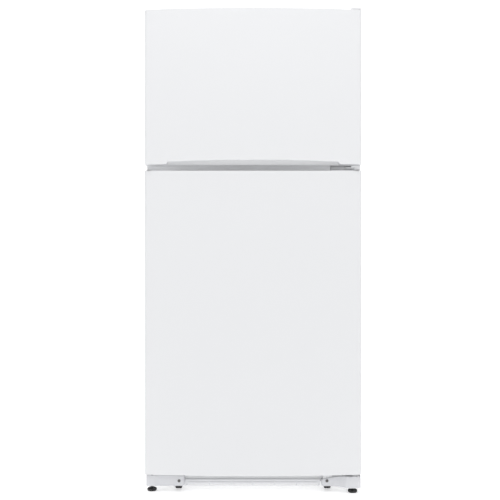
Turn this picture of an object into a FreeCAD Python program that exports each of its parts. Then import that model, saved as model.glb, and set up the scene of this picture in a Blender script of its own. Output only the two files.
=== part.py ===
import FreeCAD, Part
import math
import os

# A free-standing top freezer refrigerator of about 0.51 cubic metres inside, in millimetres.
# The frame: X across the front with the hinges on the +X side, Y from the doors (-Y) to the
# wall behind (+Y), Z up from the floor. The origin is the middle of the footprint, on the floor.

V = FreeCAD.Vector

# ---------------------------------------------------------------- driving dimensions
DOOR_WIDTH = 750.0
CABINET_WIDTH = 746.0
CABINET_FRONT = -303.0        # plane of the front flange that the gaskets close on
CABINET_REAR = 377.0
CABINET_TOP = 1665.0
SIDE_BOTTOM = 28.0            # lower edge of the painted side panels
STEEL = 1.0                   # painted sheet
PLASTIC = 2.0                 # thermoformed liners
FLANGE = 45.0                 # width of the wrapper's front flange

DOOR_BACK = -315.0            # plane of the doors' back, behind the gasket
DOOR_EDGE_FRONT = -365.0      # front of the doors at their vertical edges
DOOR_BOW = 20.0               # how far the doors' front crowns forward at the middle
DOOR_CORNER = 12.0            # radius of the doors' front vertical edges
FRIDGE_DOOR = (66.0, 1116.0)
FREEZER_DOOR = (1135.0, 1669.0)
CAP = 6.0                     # height of the plastic end caps of the doors
DIKE_HALF = 300.0             # the raised rims on the doors' inner side
DIKE_WALL = 26.0
FRIDGE_DIKE = (140.0, 1064.0)
FREEZER_DIKE = (1181.0, 1591.0)
DIKE_REAR = -240.0
BIN_REAR = -208.0

FRIDGE_HALF = 325.0           # half of the inner widths
FREEZER_HALF = 315.0
FRIDGE_FLOOR = 130.0
FRIDGE_CEILING = 1080.0
FRIDGE_REAR = 325.0
STEP_REAR = 120.0             # rear wall of the low part, in front of the machine bay
STEP_TOP = 335.0
FREEZER_FLOOR = 1167.0
FREEZER_CEILING = 1605.0
FREEZER_REAR = 315.0
LINER_CORNER = 20.0

BAY_FRONT = 161.0             # machine bay at the rear, under the step
BAY_TOP = 305.0
FOAM_BOTTOM = 92.0

HINGE_X = 352.0
HINGE_Y = -340.0
PIN_R = 5.0
BORE_R = 5.08

ROLLER_X = 261.0
FRONT_ROLLER_R = 18.0
FRONT_ROLLER_HALF = 12.0
REAR_ROLLER_R = 20.0
REAR_ROLLER_HALF = 13.0
FOOT_LEFT = (-354.0, -314.0)
FOOT_RIGHT = (346.0, -338.0)

SHELF_LEVELS = (610.0, 850.0)
CRISPER_COVER = 352.0
SHELF_FRONT = -190.0
CRISPER_FRONT = -158.0
FREEZER_SHELF_Z = 1385.0
DUCT_Y = 215.0                # front of the evaporator cover

HALF_DOOR = DOOR_WIDTH / 2
HALF_CABINET = CABINET_WIDTH / 2
INNER_EDGE = HALF_CABINET - FLANGE
OPENING_TOP = CABINET_TOP - FLANGE - 8

nodes = {}


# ---------------------------------------------------------------- helpers
def box(x0, x1, y0, y1, z0, z1):
    return Part.makeBox(abs(x1 - x0), y1 - y0, z1 - z0, V(min(x0, x1), y0, z0))


def rod(radius, start, end):
    start, end = V(*start), V(*end)
    return Part.makeCylinder(radius, (end - start).Length, start, end - start)


def prism(points, direction):
    """The polygon through the points, swept along direction."""
    wire = Part.makePolygon([V(*p) for p in points + [points[0]]])
    return Part.Face(wire).extrude(V(*direction))


def edges_along(shape, axis):
    """Straight edges parallel to axis 0, 1 or 2."""
    found = []
    for edge in shape.Edges:
        if isinstance(edge.Curve, Part.Line):
            run = edge.Vertexes[-1].Point - edge.Vertexes[0].Point
            if abs(abs(run[axis]) - run.Length) < 1e-6:
                found.append(edge)
    return found


def edges_in_plane(shape, axis, value):
    """Edges that lie in the plane where the coordinate of axis is value."""
    found = []
    for edge in shape.Edges:
        b = edge.BoundBox
        low = (b.XMin, b.YMin, b.ZMin)[axis]
        high = (b.XMax, b.YMax, b.ZMax)[axis]
        if abs(low - value) < 1e-3 and abs(high - value) < 1e-3:
            found.append(edge)
    return found


def rounded(x0, x1, y0, y1, z0, z1, radius, axis):
    """A box whose four edges along axis are rounded."""
    block = box(x0, x1, y0, y1, z0, z1)
    return block.makeFillet(radius, edges_along(block, axis))


def fused(shapes):
    return shapes[0].multiFuse(shapes[1:]).removeSplitter()


def pipe(points, radius, bend):
    """A round tube along straight runs joined by tangent arcs of the bend radius."""
    edges = []
    here = V(*points[0])
    for k in range(1, len(points) - 1):
        corner = V(*points[k])
        before = (V(*points[k - 1]) - corner).normalize()
        after = (V(*points[k + 1]) - corner).normalize()
        half = before.getAngle(after) / 2
        back = bend / math.tan(half)
        start = corner + before * back
        end = corner + after * back
        inward = (before + after).normalize()
        middle = corner + inward * (bend / math.sin(half) - bend)
        if (start - here).Length > 1e-6:
            edges.append(Part.LineSegment(here, start).toShape())
        edges.append(Part.Arc(start, middle, end).toShape())
        here = end
    edges.append(Part.LineSegment(here, V(*points[-1])).toShape())
    path = Part.Wire(edges)
    first = edges[0]
    centre = first.valueAt(first.FirstParameter)
    section = Part.Wire(Part.makeCircle(radius, centre, first.tangentAt(first.FirstParameter)))
    return path.makePipeShell([section], True, True)


def ring(half, z0, z1, wall, y0, y1, radius):
    """A rectangular frame standing in the XZ plane, as a gasket or a raised rim."""
    outer = rounded(-half, half, y0, y1, z0, z1, radius, 1)
    inner = rounded(-half + wall, half - wall, y0 - 1, y1 + 1, z0 + wall, z1 - wall,
                    max(radius - wall, 3.0), 1)
    return outer.cut(inner)


# ---------------------------------------------------------------- cabinet body
def round_top(block, radius):
    """Rounds the two long edges at the cabinet's top."""
    return block.makeFillet(radius, [e for e in edges_along(block, 1) if e.BoundBox.ZMin > 1000])


def cabinet_wrapper():
    """One painted sheet bent over both sides and the top, with a returned front flange."""
    outer = box(-HALF_CABINET, HALF_CABINET, CABINET_FRONT, CABINET_REAR, SIDE_BOTTOM, CABINET_TOP)
    half = HALF_CABINET - STEEL
    inner = box(-half, half, CABINET_FRONT + STEEL, CABINET_REAR + 1, SIDE_BOTTOM - 1,
                CABINET_TOP - STEEL)
    opening = box(-INNER_EDGE, INNER_EDGE, CABINET_FRONT - 1, CABINET_FRONT + 2,
                  SIDE_BOTTOM - 1, OPENING_TOP)
    return round_top(outer, 4.0).cut(round_top(inner, 3.0)).cut(opening)


def fridge_volume(grow, front):
    """The fridge compartment grown outwards: full height in front, stepped over the bay behind."""
    half = FRIDGE_HALF + grow
    radius = LINER_CORNER + grow
    low = rounded(-half, half, front, STEP_REAR + grow, FRIDGE_FLOOR - grow,
                  FRIDGE_CEILING + grow, radius, 1)
    high = rounded(-half, half, STEP_REAR - 60, FRIDGE_REAR + grow, STEP_TOP - grow,
                   FRIDGE_CEILING + grow, radius, 1)
    return low.fuse(high)


def freezer_volume(grow, front):
    half = FREEZER_HALF + grow
    return rounded(-half, half, front, FREEZER_REAR + grow, FREEZER_FLOOR - grow,
                   FREEZER_CEILING + grow, LINER_CORNER + grow, 1)


def side_ledges(half, levels, y0, y1, depth):
    """Moulded ledges on both side walls, which the shelves rest on."""
    ledges = []
    for level in levels:
        for side in (-1, 1):
            ledges.append(box(side * (half - depth), side * (half + 1), y0, y1, level - 8, level))
    return ledges


def fridge_liner():
    hollow = fridge_volume(0, CABINET_FRONT - 1)
    shell = fridge_volume(PLASTIC, CABINET_FRONT).cut(hollow)
    lip = box(-INNER_EDGE, INNER_EDGE, CABINET_FRONT, CABINET_FRONT + PLASTIC, 115, 1084).cut(hollow)
    ledges = side_ledges(FRIDGE_HALF, SHELF_LEVELS, -185, 290, 8)
    ledges += side_ledges(FRIDGE_HALF, (CRISPER_COVER,), -185, STEP_REAR - 2, 8)
    return fused([shell, lip] + ledges)


def freezer_liner():
    hollow = freezer_volume(0, CABINET_FRONT - 1)
    shell = freezer_volume(PLASTIC, CABINET_FRONT).cut(hollow)
    lip = box(-INNER_EDGE, INNER_EDGE, CABINET_FRONT, CABINET_FRONT + PLASTIC, 1163, OPENING_TOP)
    ledges = side_ledges(FREEZER_HALF, (FREEZER_SHELF_Z,), -185, 200, 8)
    return fused([shell, lip.cut(hollow)] + ledges)


def cabinet_foam():
    half = HALF_CABINET - STEEL
    block = box(-half, half, CABINET_FRONT + PLASTIC, CABINET_REAR - STEEL, FOAM_BOTTOM,
                CABINET_TOP - STEEL)
    bay = box(-400, 400, BAY_FRONT, 400, 0, BAY_TOP)
    block = round_top(block, 3.0).cut(bay)
    block = block.cut(fridge_volume(PLASTIC, CABINET_FRONT - 5))
    return block.cut(freezer_volume(PLASTIC, CABINET_FRONT - 5))


def mullion_rail():
    """Painted steel rail between the two openings, where the doors' gaskets close."""
    face = box(-INNER_EDGE, INNER_EDGE, CABINET_FRONT, CABINET_FRONT + STEEL, 1084, 1163)
    back = box(-INNER_EDGE, INNER_EDGE, CABINET_FRONT + STEEL, CABINET_FRONT + PLASTIC, 1086, 1161)
    return face.fuse(back).removeSplitter()


def rear_panel():
    """Flat painted sheet with pressed stiffening ribs."""
    half = HALF_CABINET - STEEL
    sheet = box(-half, half, CABINET_REAR - STEEL, CABINET_REAR, BAY_TOP, CABINET_TOP - STEEL)
    ribs = []
    for x in (-230.0, 0.0, 230.0):
        rib = rounded(x - 9, x + 9, CABINET_REAR - 0.5, CABINET_REAR + 2.5, 420, 1560, 8.9, 1)
        ribs.append(rib.makeFillet(1.5, edges_in_plane(rib, 1, CABINET_REAR + 2.5)))
    half_spacer = 16.0
    for x in (-300.0, 300.0):
        spacer = rounded(x - half_spacer, x + half_spacer, CABINET_REAR - 0.5, 385, 1600, 1632, 6, 1)
        ribs.append(spacer)
    return fused([sheet] + ribs)


# ---------------------------------------------------------------- base
def roller_fork(x, y, z, top):
    """Two cheeks and a riveted axle that carry one roller."""
    cheeks = []
    for side in (-1, 1):
        cheeks.append(box(x + side * 14.5, x + side * 17.0, y - 12, y + 14, z - 8, top))
    return cheeks + [rod(4.0, (x - 18, y, z), (x + 18, y, z))]


def front_fork(x):
    """Fork of a front roller: cheeks through the sill, an axle and a tab that takes the screw."""
    y, z = FRONT_ROLLER
    inner, outer = FRONT_ROLLER_HALF + 1.5, FRONT_ROLLER_HALF + 4.0
    pieces = [rod(4.0, (x - outer - 1, y, z), (x + outer + 1, y, z))]
    for side in (-1, 1):
        pieces.append(box(x + side * inner, x + side * outer, FORK_FRONT, CABINET_FRONT, z - 8, 56))
        pieces.append(box(x + side * inner, x + side * outer, CABINET_FRONT, -284, z - 8, 91.5))
    pieces.append(box(x - outer, x + outer, FORK_FRONT, FORK_FRONT + 2.5, 30, 56))
    return pieces


ADJUSTERS = ((-258.0, 37.0), (258.0, 37.0))
FORK_FRONT = -323.0
FRONT_ROLLER = (-302.0, 22.5)     # y and z of the front rollers' axles
REAR_ROLLER = (338.0, 20.0)
REAR_ROLLER_X = 322.0


def front_sheet(half):
    """Sheet behind the sill, with windows that the front rollers stand in."""
    sheet = box(-half, half, CABINET_FRONT + STEEL, CABINET_FRONT + 3, 28, FOAM_BOTTOM)
    for side in (-1, 1):
        half_window = FRONT_ROLLER_HALF + 1.5
        window = box(side * (ROLLER_X - half_window), side * (ROLLER_X + half_window), -310, -290, 10, 50)
        sheet = sheet.cut(window)
    return sheet


def base_frame():
    """Welded chassis: deck under the foam, bay lining, side rails, front sill, roller forks."""
    half = HALF_CABINET - STEEL
    sheet = 1.2
    pieces = [
        box(-half, half, CABINET_FRONT + 3, BAY_FRONT + sheet, FOAM_BOTTOM - sheet, FOAM_BOTTOM),
        box(-half, half, BAY_FRONT, BAY_FRONT + sheet, FOAM_BOTTOM - sheet, BAY_TOP),
        box(-half, half, BAY_FRONT, CABINET_REAR - STEEL, BAY_TOP - sheet, BAY_TOP),
        box(-INNER_EDGE, INNER_EDGE, CABINET_FRONT, CABINET_FRONT + STEEL, 58, 115),
        front_sheet(half),
        box(-369.5, -310, -325, CABINET_FRONT, 46, 50),
        box(-369.5, -310, CABINET_FRONT - 3, CABINET_FRONT, 40, 64),
    ]
    for side in (-1, 1):
        pieces.append(box(side * half, side * (half - 2.5), CABINET_FRONT + 3, 372, 30, FOAM_BOTTOM))
        pieces.append(box(side * half, side * (half - 34), CABINET_FRONT + 3, 372, 30, 32.5))
        pieces += front_fork(side * ROLLER_X)
        pieces += roller_fork(side * REAR_ROLLER_X, *REAR_ROLLER, 62.0)
        pieces.append(box(side * (half - 1), side * 300, 318, 360, 58, 62))
    frame = fused(pieces)
    frame = frame.cut(rod(BORE_R, (*FOOT_LEFT, 40), (*FOOT_LEFT, 70)))
    for x, z in ADJUSTERS:
        frame = frame.cut(rod(2.0, (x, -330, z), (x, -315, z)))
    for side in (-1, 1):
        clear = box(side * (REAR_ROLLER_X - 13.8), side * (REAR_ROLLER_X + 13.8), 312, 364, 28, 45)
        frame = frame.cut(clear.cut(rod(4.0, (-400, *REAR_ROLLER), (400, *REAR_ROLLER))))
    return frame


def roller(radius, half, x, y, z):
    """Hard wheel with a rounded tread, free on its axle."""
    wheel = rod(radius, (x - half, y, z), (x + half, y, z))
    rims = [e for e in wheel.Edges if isinstance(e.Curve, Part.Circle)]
    wheel = wheel.makeFillet(4.5, rims)
    for start in (x - half - 1, x + half - 3):
        dish = rod(radius - 6, (start, y, z), (start + 4, y, z))
        wheel = wheel.cut(dish.cut(rod(7.5, (start, y, z), (start + 4, y, z))))
    return wheel.cut(rod(4.08, (x - 20, y, z), (x + 20, y, z)))


def levelling_foot(centre, top):
    """Screwed stem with a shoulder and a wide pad that stands on the floor."""
    x, y = centre
    profile = [(0, 0), (14.5, 0), (17, 2.5), (17, 7), (14.5, 11), (9.5, 13), (PIN_R, 13.5),
               (PIN_R, top - 1), (PIN_R - 1, top), (0, top)]
    wire = Part.makePolygon([V(x + r, y, z) for r, z in profile + [profile[0]]])
    return Part.Face(wire).revolve(V(x, y, 0), V(0, 0, 1), 360)


GRILLE = (-238.5, 236.0)


def toe_grille():
    """Snap-on plastic grille that air for the condenser enters through."""
    x0, x1 = GRILLE
    section = [(x0, -311, 17), (x0, -311, 35), (x0, -307, 39), (x0, -303.3, 39), (x0, -303.3, 36.5),
               (x0, -306, 36.5), (x0, -308.5, 34), (x0, -308.5, 17)]
    bar = prism(section, (x1 - x0, 0, 0))
    for side in (x0 + 18, x1 - 22):
        bar = bar.fuse(box(side, side + 4, -309, -303.3, 19, 37))
    pitch = (x1 - x0 - 16) / 6
    for z in (22.5, 29.5):
        for k in range(6):
            start = x0 + 10.5 + k * pitch
            bar = bar.cut(rounded(start, start + pitch - 5, -313, -308, z - 1.6, z + 1.6, 1.5, 1))
    return bar.removeSplitter()


def base_cover_left():
    """Corner cover round the left foot's stem, open above, below and behind."""
    outer = prism([(-373, -303.3, 19), (-373, -328, 19), (-369, -332, 19), (-340, -332, 19),
                   (-332, -328, 19), (-245, -328, 19), (-240, -323, 19), (-240, -303.3, 19)],
                  (0, 0, 43))
    inner = prism([(-370.5, -303, 10), (-370.5, -327, 10), (-368, -329.5, 10), (-340.6, -329.5, 10),
                   (-332.6, -325.5, 10), (-246, -325.5, 10), (-242.5, -322, 10),
                   (-242.5, -303, 10)], (0, 0, 60))
    x, z = ADJUSTERS[0]
    return outer.cut(inner).cut(rod(2.0, (x, -335, z), (x, -320, z)))


def base_cover_right():
    """Corner cover that swells forward under the door round the lower hinge and its foot."""
    outer = prism([(240, -303.3, 18), (240, -323, 18), (245, -328, 18), (284, -328, 18),
                   (308, -360, 18), (366, -360, 18), (373, -353, 18), (373, -303.3, 18)],
                  (0, 0, 44))
    inner = prism([(242.5, -303, 10), (242.5, -322, 10), (246, -325.5, 10), (285.3, -325.5, 10),
                   (309.3, -357.5, 10), (365, -357.5, 10), (370.5, -352, 10), (370.5, -303, 10)],
                  (0, 0, 60))
    raised = prism([(230, -400, 10), (230, -400, 22), (284, -400, 22), (306, -400, 18), (306, -400, 10)],
                   (0, 120, 0))
    x, z = ADJUSTERS[1]
    return outer.cut(inner).cut(raised).cut(rod(2.0, (x, -335, z), (x, -320, z)))


def roller_adjust_screws():
    """Two cap screws through the base covers into the roller forks."""
    screws = []
    for x, z in ADJUSTERS:
        head = rod(5.0, (x, -331, z), (x, -328, z))
        head = head.makeFillet(1.0, edges_in_plane(head, 1, -331))
        head = head.cut(rod(2.2, (x, -332, z), (x, -329, z)))
        shank = rod(1.95, (x, -328, z), (x, FORK_FRONT + 2.4, z))
        screws.append(head.fuse(shank).removeSplitter())
    return Part.makeCompound(screws)


# ---------------------------------------------------------------- hinges
def flat_plate(points, z0, z1):
    return prism([(x, y, z0) for x, y in points], (0, 0, z1 - z0))


def bottom_hinge():
    """Steel plate under the fridge door, with its pin, a flange on the sill and a foot bore."""
    plate = flat_plate([(314, -303), (314, -340), (324, -353), (364, -353), (368, -349), (368, -303)],
                       53, 57)
    flange = box(314, 368, -306, -303, 44, 57)
    pin = rod(PIN_R, (HINGE_X, HINGE_Y, 55), (HINGE_X, HINGE_Y, 78))
    collar = rod(9.0, (HINGE_X, HINGE_Y, 57), (HINGE_X, HINGE_Y, 65.6))
    boss = rod(9.0, (*FOOT_RIGHT, 38), (*FOOT_RIGHT, 53))
    hinge = fused([plate, flange, pin, collar, boss])
    return hinge.cut(rod(BORE_R, (*FOOT_RIGHT, 37), (*FOOT_RIGHT, 53)))


def center_hinge():
    """Steel plate between the doors: one pin up, one pin down, and a screwed flange behind."""
    plate = flat_plate([(300, -303), (322, -352), (362, -352), (366, -348), (366, -303)], 1123.5, 1127.5)
    flange = box(300, 340, -306, -303, 1112, 1139)
    pin = rod(PIN_R, (HINGE_X, HINGE_Y, 1101), (HINGE_X, HINGE_Y, 1150))
    low = rod(9.0, (HINGE_X, HINGE_Y, 1116.4), (HINGE_X, HINGE_Y, 1123.5))
    high = rod(9.0, (HINGE_X, HINGE_Y, 1127.5), (HINGE_X, HINGE_Y, 1134.6))
    return fused([plate, flange, pin, low, high])


def top_hinge():
    """Steel arm screwed to the cabinet's top, stepped up over the door, with its pin down."""
    arm = [(-357, 1670.2), (-357, 1673.4), (-300, 1673.4), (-292, 1669), (-232, 1669),
           (-232, 1665), (-294, 1665), (-301, 1670.2)]
    plate = prism([(342.5, y, z) for y, z in arm], (27, 0, 0))
    plate = plate.makeFillet(9.0, [e for e in edges_along(plate, 2) if e.BoundBox.YMax < -350])
    pin = rod(PIN_R, (HINGE_X, HINGE_Y, 1654), (HINGE_X, HINGE_Y, 1671))
    return fused([plate, pin])


def top_hinge_cover():
    """Snap-on plastic cap over the hinge arm, low over the door and deeper behind it."""
    side = [(-360, 1670.6), (-360, 1675), (-358, 1677), (-310, 1678.5), (-297, 1682), (-229, 1682),
            (-224, 1677), (-224, 1665), (-298, 1665), (-298, 1670.6)]
    room = [(-357.8, 1660), (-357.8, 1674.8), (-310, 1676.3), (-296, 1679.8), (-230, 1679.8),
            (-226.2, 1676), (-226.2, 1660)]
    outer = prism([(339, y, z) for y, z in side], (34, 0, 0))
    front = [e for e in edges_along(outer, 2) if e.BoundBox.YMax < -350]
    outer = outer.makeFillet(4.0, front)
    cover = outer.cut(prism([(341.2, y, z) for y, z in room], (29.6, 0, 0)))
    return cover.cut(box(341.2, 370.8, -304, -290, 1660, 1674.5))


def screw_down(x, y, z, radius, head, length):
    """A screw with a domed head on the plane z, its shank pointing down."""
    cap = rod(radius, (x, y, z), (x, y, z + head))
    cap = cap.makeFillet(head * 0.6, edges_in_plane(cap, 2, z + head))
    return cap.fuse(rod(radius * 0.45, (x, y, z - length), (x, y, z))).removeSplitter()


def screw_back(x, y, z, radius, head, length):
    """A screw with a domed head in front of the plane y, its shank pointing to +Y."""
    cap = rod(radius, (x, y - head, z), (x, y, z))
    cap = cap.makeFillet(head * 0.6, edges_in_plane(cap, 1, y - head))
    return cap.fuse(rod(radius * 0.45, (x, y, z), (x, y + length, z))).removeSplitter()


HINGE_SCREWS_TOP = ((356.0, -278.0), (348.5, -246.0), (363.5, -246.0))
HINGE_SCREWS_MID = ((308.0, 1117.5), (331.0, 1117.5), (308.0, 1133.5))
HINGE_SCREWS_LOW = ((322.0, 48.5), (360.0, 48.5))


def hinge_screws():
    screws = [screw_down(x, y, 1669, 5, 3, 12) for x, y in HINGE_SCREWS_TOP]
    screws += [screw_back(x, -306, z, 4, 2.4, 8) for x, z in HINGE_SCREWS_MID]
    screws += [screw_back(x, -306, z, 4, 2.4, 8) for x, z in HINGE_SCREWS_LOW]
    return Part.makeCompound(screws)


HOLES_TOP = ((-356.0, -278.0), (-348.5, -246.0), (-363.5, -246.0))
HOLES_MID = ((-308.0, 1117.5), (-308.0, 1133.5))


def hole_plugs():
    """Small push-in plugs in the holes that serve a left-hand hinge."""
    plugs = [screw_down(x, y, CABINET_TOP, 5, 1.6, 5) for x, y in HOLES_TOP]
    plugs += [screw_back(x, CABINET_FRONT, z, 5, 1.6, 5) for x, z in HOLES_MID]
    return Part.makeCompound(plugs)


def shank_holes(shape, screws, plane_axis):
    """Cuts the holes that the screws' shanks stand in."""
    for a, b in screws:
        if plane_axis == 2:
            shape = shape.cut(rod(2.4, (a, b, 1640), (a, b, 1672)))
        else:
            shape = shape.cut(rod(2.4, (a, -310, b), (a, -290, b)))
    return shape


# ---------------------------------------------------------------- doors
BOW_R = (HALF_DOOR ** 2 + DOOR_BOW ** 2) / (2 * DOOR_BOW)
BOW_Y = DOOR_EDGE_FRONT - DOOR_BOW + BOW_R


def bow_y(x, inset):
    """Y of the doors' crowned front at x, moved inwards by inset."""
    return BOW_Y - math.sqrt((BOW_R - inset) ** 2 - x * x)


def door_block(z0, z1, inset, back):
    """A solid with the doors' plan outline, moved inwards by inset on the sides and the front."""
    half = HALF_DOOR - inset
    edge = bow_y(half, inset)
    arc = Part.Arc(V(-half, edge, z0), V(0, bow_y(0, inset), z0), V(half, edge, z0)).toShape()
    corners = [V(half, edge, z0), V(half, back, z0), V(-half, back, z0), V(-half, edge, z0)]
    sides = [Part.LineSegment(a, b).toShape() for a, b in zip(corners, corners[1:])]
    block = Part.Face(Part.Wire([arc] + sides)).extrude(V(0, 0, z1 - z0))
    front = [e for e in edges_along(block, 2) if e.BoundBox.YMax < back - 10]
    return block.makeFillet(DOOR_CORNER - inset, front)


def door_skin(z0, z1):
    """Painted sheet round the front and both sides, with a lip returned on to the back."""
    shell = door_block(z0, z1, 0, DOOR_BACK).cut(door_block(z0 - 1, z1 + 1, STEEL, DOOR_BACK + 5))
    lips = []
    for side in (-1, 1):
        lips.append(box(side * (HALF_DOOR - STEEL), side * 358, DOOR_BACK - STEEL, DOOR_BACK, z0, z1))
    return fused([shell] + lips)


def door_cap(z0, z1):
    """Plastic end cap inside the skin."""
    cap = door_block(z0, z1, STEEL, DOOR_BACK)
    for side in (-1, 1):
        lip = box(side * 380, side * 358, DOOR_BACK - STEEL, DOOR_BACK + 1, z0 - 1, z1 + 1)
        cap = cap.cut(lip)
    return cap


def door_liner(z0, z1, dike):
    """Thermoformed inner panel: a flat sheet with a raised hollow rim that holds the bins."""
    sheet = box(-358, 358, DOOR_BACK - PLASTIC, DOOR_BACK, z0, z1)
    rim = ring(DIKE_HALF, *dike, DIKE_WALL, DOOR_BACK - 0.5, DIKE_REAR, 30)
    return fused([sheet, rim]).cut(dike_foam(dike))


def dike_foam(dike):
    """The foam that fills a door's raised rim."""
    return ring(DIKE_HALF - PLASTIC, dike[0] + PLASTIC, dike[1] - PLASTIC, DIKE_WALL - 2 * PLASTIC,
                DOOR_BACK - PLASTIC, DIKE_REAR - PLASTIC, 28)


def door_foam(z0, z1, dike):
    core = door_block(z0, z1, STEEL, DOOR_BACK - PLASTIC)
    return core.fuse(dike_foam(dike)).removeSplitter()


def door_gasket(z0, z1):
    """Soft magnetic gasket: a flat foot and a bulb that closes on the flange."""
    foot = ring(352, z0, z1, 23, DOOR_BACK, DOOR_BACK + 3, 12)
    bulb = ring(349, z0 + 3, z1 - 3, 15, DOOR_BACK + 2, CABINET_FRONT - 0.3, 9)
    front = edges_in_plane(bulb, 1, CABINET_FRONT - 0.3)
    return foot.fuse(bulb.makeFillet(2.5, front)).removeSplitter()


def hinge_bore(z0, z1):
    return rod(BORE_R, (HINGE_X, HINGE_Y, z0), (HINGE_X, HINGE_Y, z1))


GRIP_WALL = -345.5            # front of the wall that hangs behind the freezer door's grip
ARCH_HALF = 300.0
ARCH_ENDS = 9.0
ARCH_MIDDLE = 15.0


def arch_cut(grow, depth):
    """The arch-shaped scoop at the freezer door's lower front edge."""
    z = FREEZER_DOOR[0]
    half = ARCH_HALF + grow
    left = V(-half + 6, -420, z + ARCH_ENDS + grow)
    right = V(half - 6, -420, z + ARCH_ENDS + grow)
    top = Part.Arc(left, V(0, -420, z + ARCH_MIDDLE + grow), right).toShape()
    corners = [right, V(half, -420, z - 5), V(-half, -420, z - 5), left]
    sides = [Part.LineSegment(a, b).toShape() for a, b in zip(corners, corners[1:])]
    return Part.Face(Part.Wire([top] + sides)).extrude(V(0, depth, 0))


def pocket(z0, z1, grow):
    """The space for the fingers behind a door's front lip, over the arch's width."""
    half = ARCH_HALF - 6 + grow
    return rounded(-half, half, -366 - grow, GRIP_WALL - 0.5 + grow, z0 - grow, z1 + grow, 8 + grow, 1)


def freezer_handle_cap():
    """Bottom cap of the freezer door: the arch's ceiling, a finger pocket and the wall behind it."""
    z0 = FREEZER_DOOR[0]
    cap = door_cap(z0, z0 + CAP + 13)
    cap = cap.cut(arch_cut(0, 60)).cut(pocket(z0 - 20, z0 + 14, 0))
    wall = prism([(-362, GRIP_WALL, z0 + 1), (-366, GRIP_WALL, z0 - 9), (-362, GRIP_WALL, z0 - 17),
                  (284, GRIP_WALL, z0 - 17), (284, GRIP_WALL, z0 + 1)], (0, 3, 0))
    return cap.fuse(wall).cut(hinge_bore(z0 - 1, z0 + 25)).removeSplitter()


def fridge_handle_cap():
    """Top cap of the fridge door, with a trough behind its front lip for the fingers."""
    z1 = FRIDGE_DOOR[1]
    cap = door_cap(z1 - CAP, z1)
    walls = pocket(z1 - 30, z1 + 10, 2.5).common(box(-400, 400, -400, -300, z1 - 60, z1 - 1))
    cap = cap.fuse(walls).cut(pocket(z1 - 30, z1 + 20, 0))
    return cap.cut(hinge_bore(z1 - 25, z1 + 1)).removeSplitter()


def freezer_top_cap():
    z1 = FREEZER_DOOR[1]
    return door_cap(z1 - CAP, z1).cut(hinge_bore(z1 - 20, z1 + 1))


def fridge_bottom_cap():
    z0 = FRIDGE_DOOR[0]
    return door_cap(z0, z0 + CAP).cut(hinge_bore(z0 - 1, z0 + 16))


def door_bin(z, height, x0, x1, rear):
    """A tub with a floor, a higher guard toward the room and open above."""
    front = DOOR_BACK + 2.0
    outer = rounded(x0, x1, front, rear, z, z + height, 12, 2)
    outer = outer.makeFillet(4.0, edges_in_plane(outer, 2, z))
    inner = rounded(x0 + 2.5, x1 - 2.5, front + 2.5, rear - 2.5, z + 3, z + height + 1, 9.5, 2)
    tub = outer.cut(inner)
    notch = prism([(x0 - 1, front - 1, z + height + 1), (x0 - 1, front - 1, z + height),
                   (x0 - 1, front + 30, z + height), (x0 - 1, rear - 40, z + height * 0.72),
                   (x0 - 1, rear + 1, z + height * 0.72), (x0 - 1, rear + 1, z + height + 1)],
                  (x1 - x0 + 2, 0, 0))
    return tub.cut(notch)


BIN_EDGE = DIKE_HALF - DIKE_WALL - 0.2
FREEZER_BINS = (1212.0, 1420.0)
FRIDGE_BINS = (376.0, 640.0)
JUG_Z = 168.0
DAIRY = (-272.0, -20.0, 850.0, 950.0)     # x0, x1, floor and pivot height
DAIRY_REAR = -226.0


def dairy_lid():
    """Flip-up cover of the dairy compartment, turning about the pins at its upper edge."""
    x0, x1, floor, pivot = DAIRY
    outer = rounded(x0 + 3, x1 - 3, -296, DAIRY_REAR, floor + 6, pivot + 6, 12, 0)
    inner = rounded(x0 + 5, x1 - 5, -310, DAIRY_REAR - 2, floor - 10, pivot + 4, 10, 0)
    lid = outer.cut(inner)
    lid = lid.cut(box(-400, 400, -310, -262, floor - 20, pivot - 8))
    hubs = []
    for x in (x0 + 3, x1 - 9):
        hubs.append(rod(6.0, (x, -294, pivot), (x + 6, -294, pivot)))
    lid = fused([lid] + hubs)
    return lid.cut(rod(3.08, (x0 - 5, -294, pivot), (x1 + 5, -294, pivot)))


def dairy_tray():
    """The compartment under the lid: floor, back, two cheeks with the pivot pins."""
    x0, x1, floor, pivot = DAIRY
    back = DOOR_BACK
    pieces = [box(x0, x1, back, DAIRY_REAR - 4, floor - 3, floor),
              box(x0, x1, back, back + 2, floor - 3, pivot + 8)]
    for a, b in ((x0, x0 + 2.5), (x1 - 2.5, x1)):
        pieces.append(box(a, b, back, -284, floor - 3, pivot + 8))
    pieces.append(rod(3.0, (x0 + 1, -294, pivot), (x0 + 9, -294, pivot)))
    pieces.append(rod(3.0, (x1 - 9, -294, pivot), (x1 - 1, -294, pivot)))
    return fused(pieces)


# ---------------------------------------------------------------- fridge inside
def shelf_frame(z, front, rear):
    """A moulded frame with a rabbet for the glass pane."""
    half = FRIDGE_HALF - 2
    outer = rounded(-half, half, front, rear, z, z + 14, 10, 2)
    hole = box(-half + 26, half - 26, front + 30, rear - 26, z - 1, z + 20)
    rabbet = box(-half + 16, half - 16, front + 20, rear - 16, z + 9, z + 20)
    return outer.cut(hole).cut(rabbet)


def shelf_pane(z, front, rear):
    half = FRIDGE_HALF - 2
    return box(-half + 16.5, half - 16.5, front + 20.5, rear - 16.5, z + 9, z + 13)


def crisper_cover_frame():
    frame = shelf_frame(CRISPER_COVER, SHELF_FRONT, 280)
    rail = box(-6, 6, SHELF_FRONT + 25, 105, CRISPER_COVER - 14, CRISPER_COVER + 9)
    return frame.fuse(rail).removeSplitter()


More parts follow.
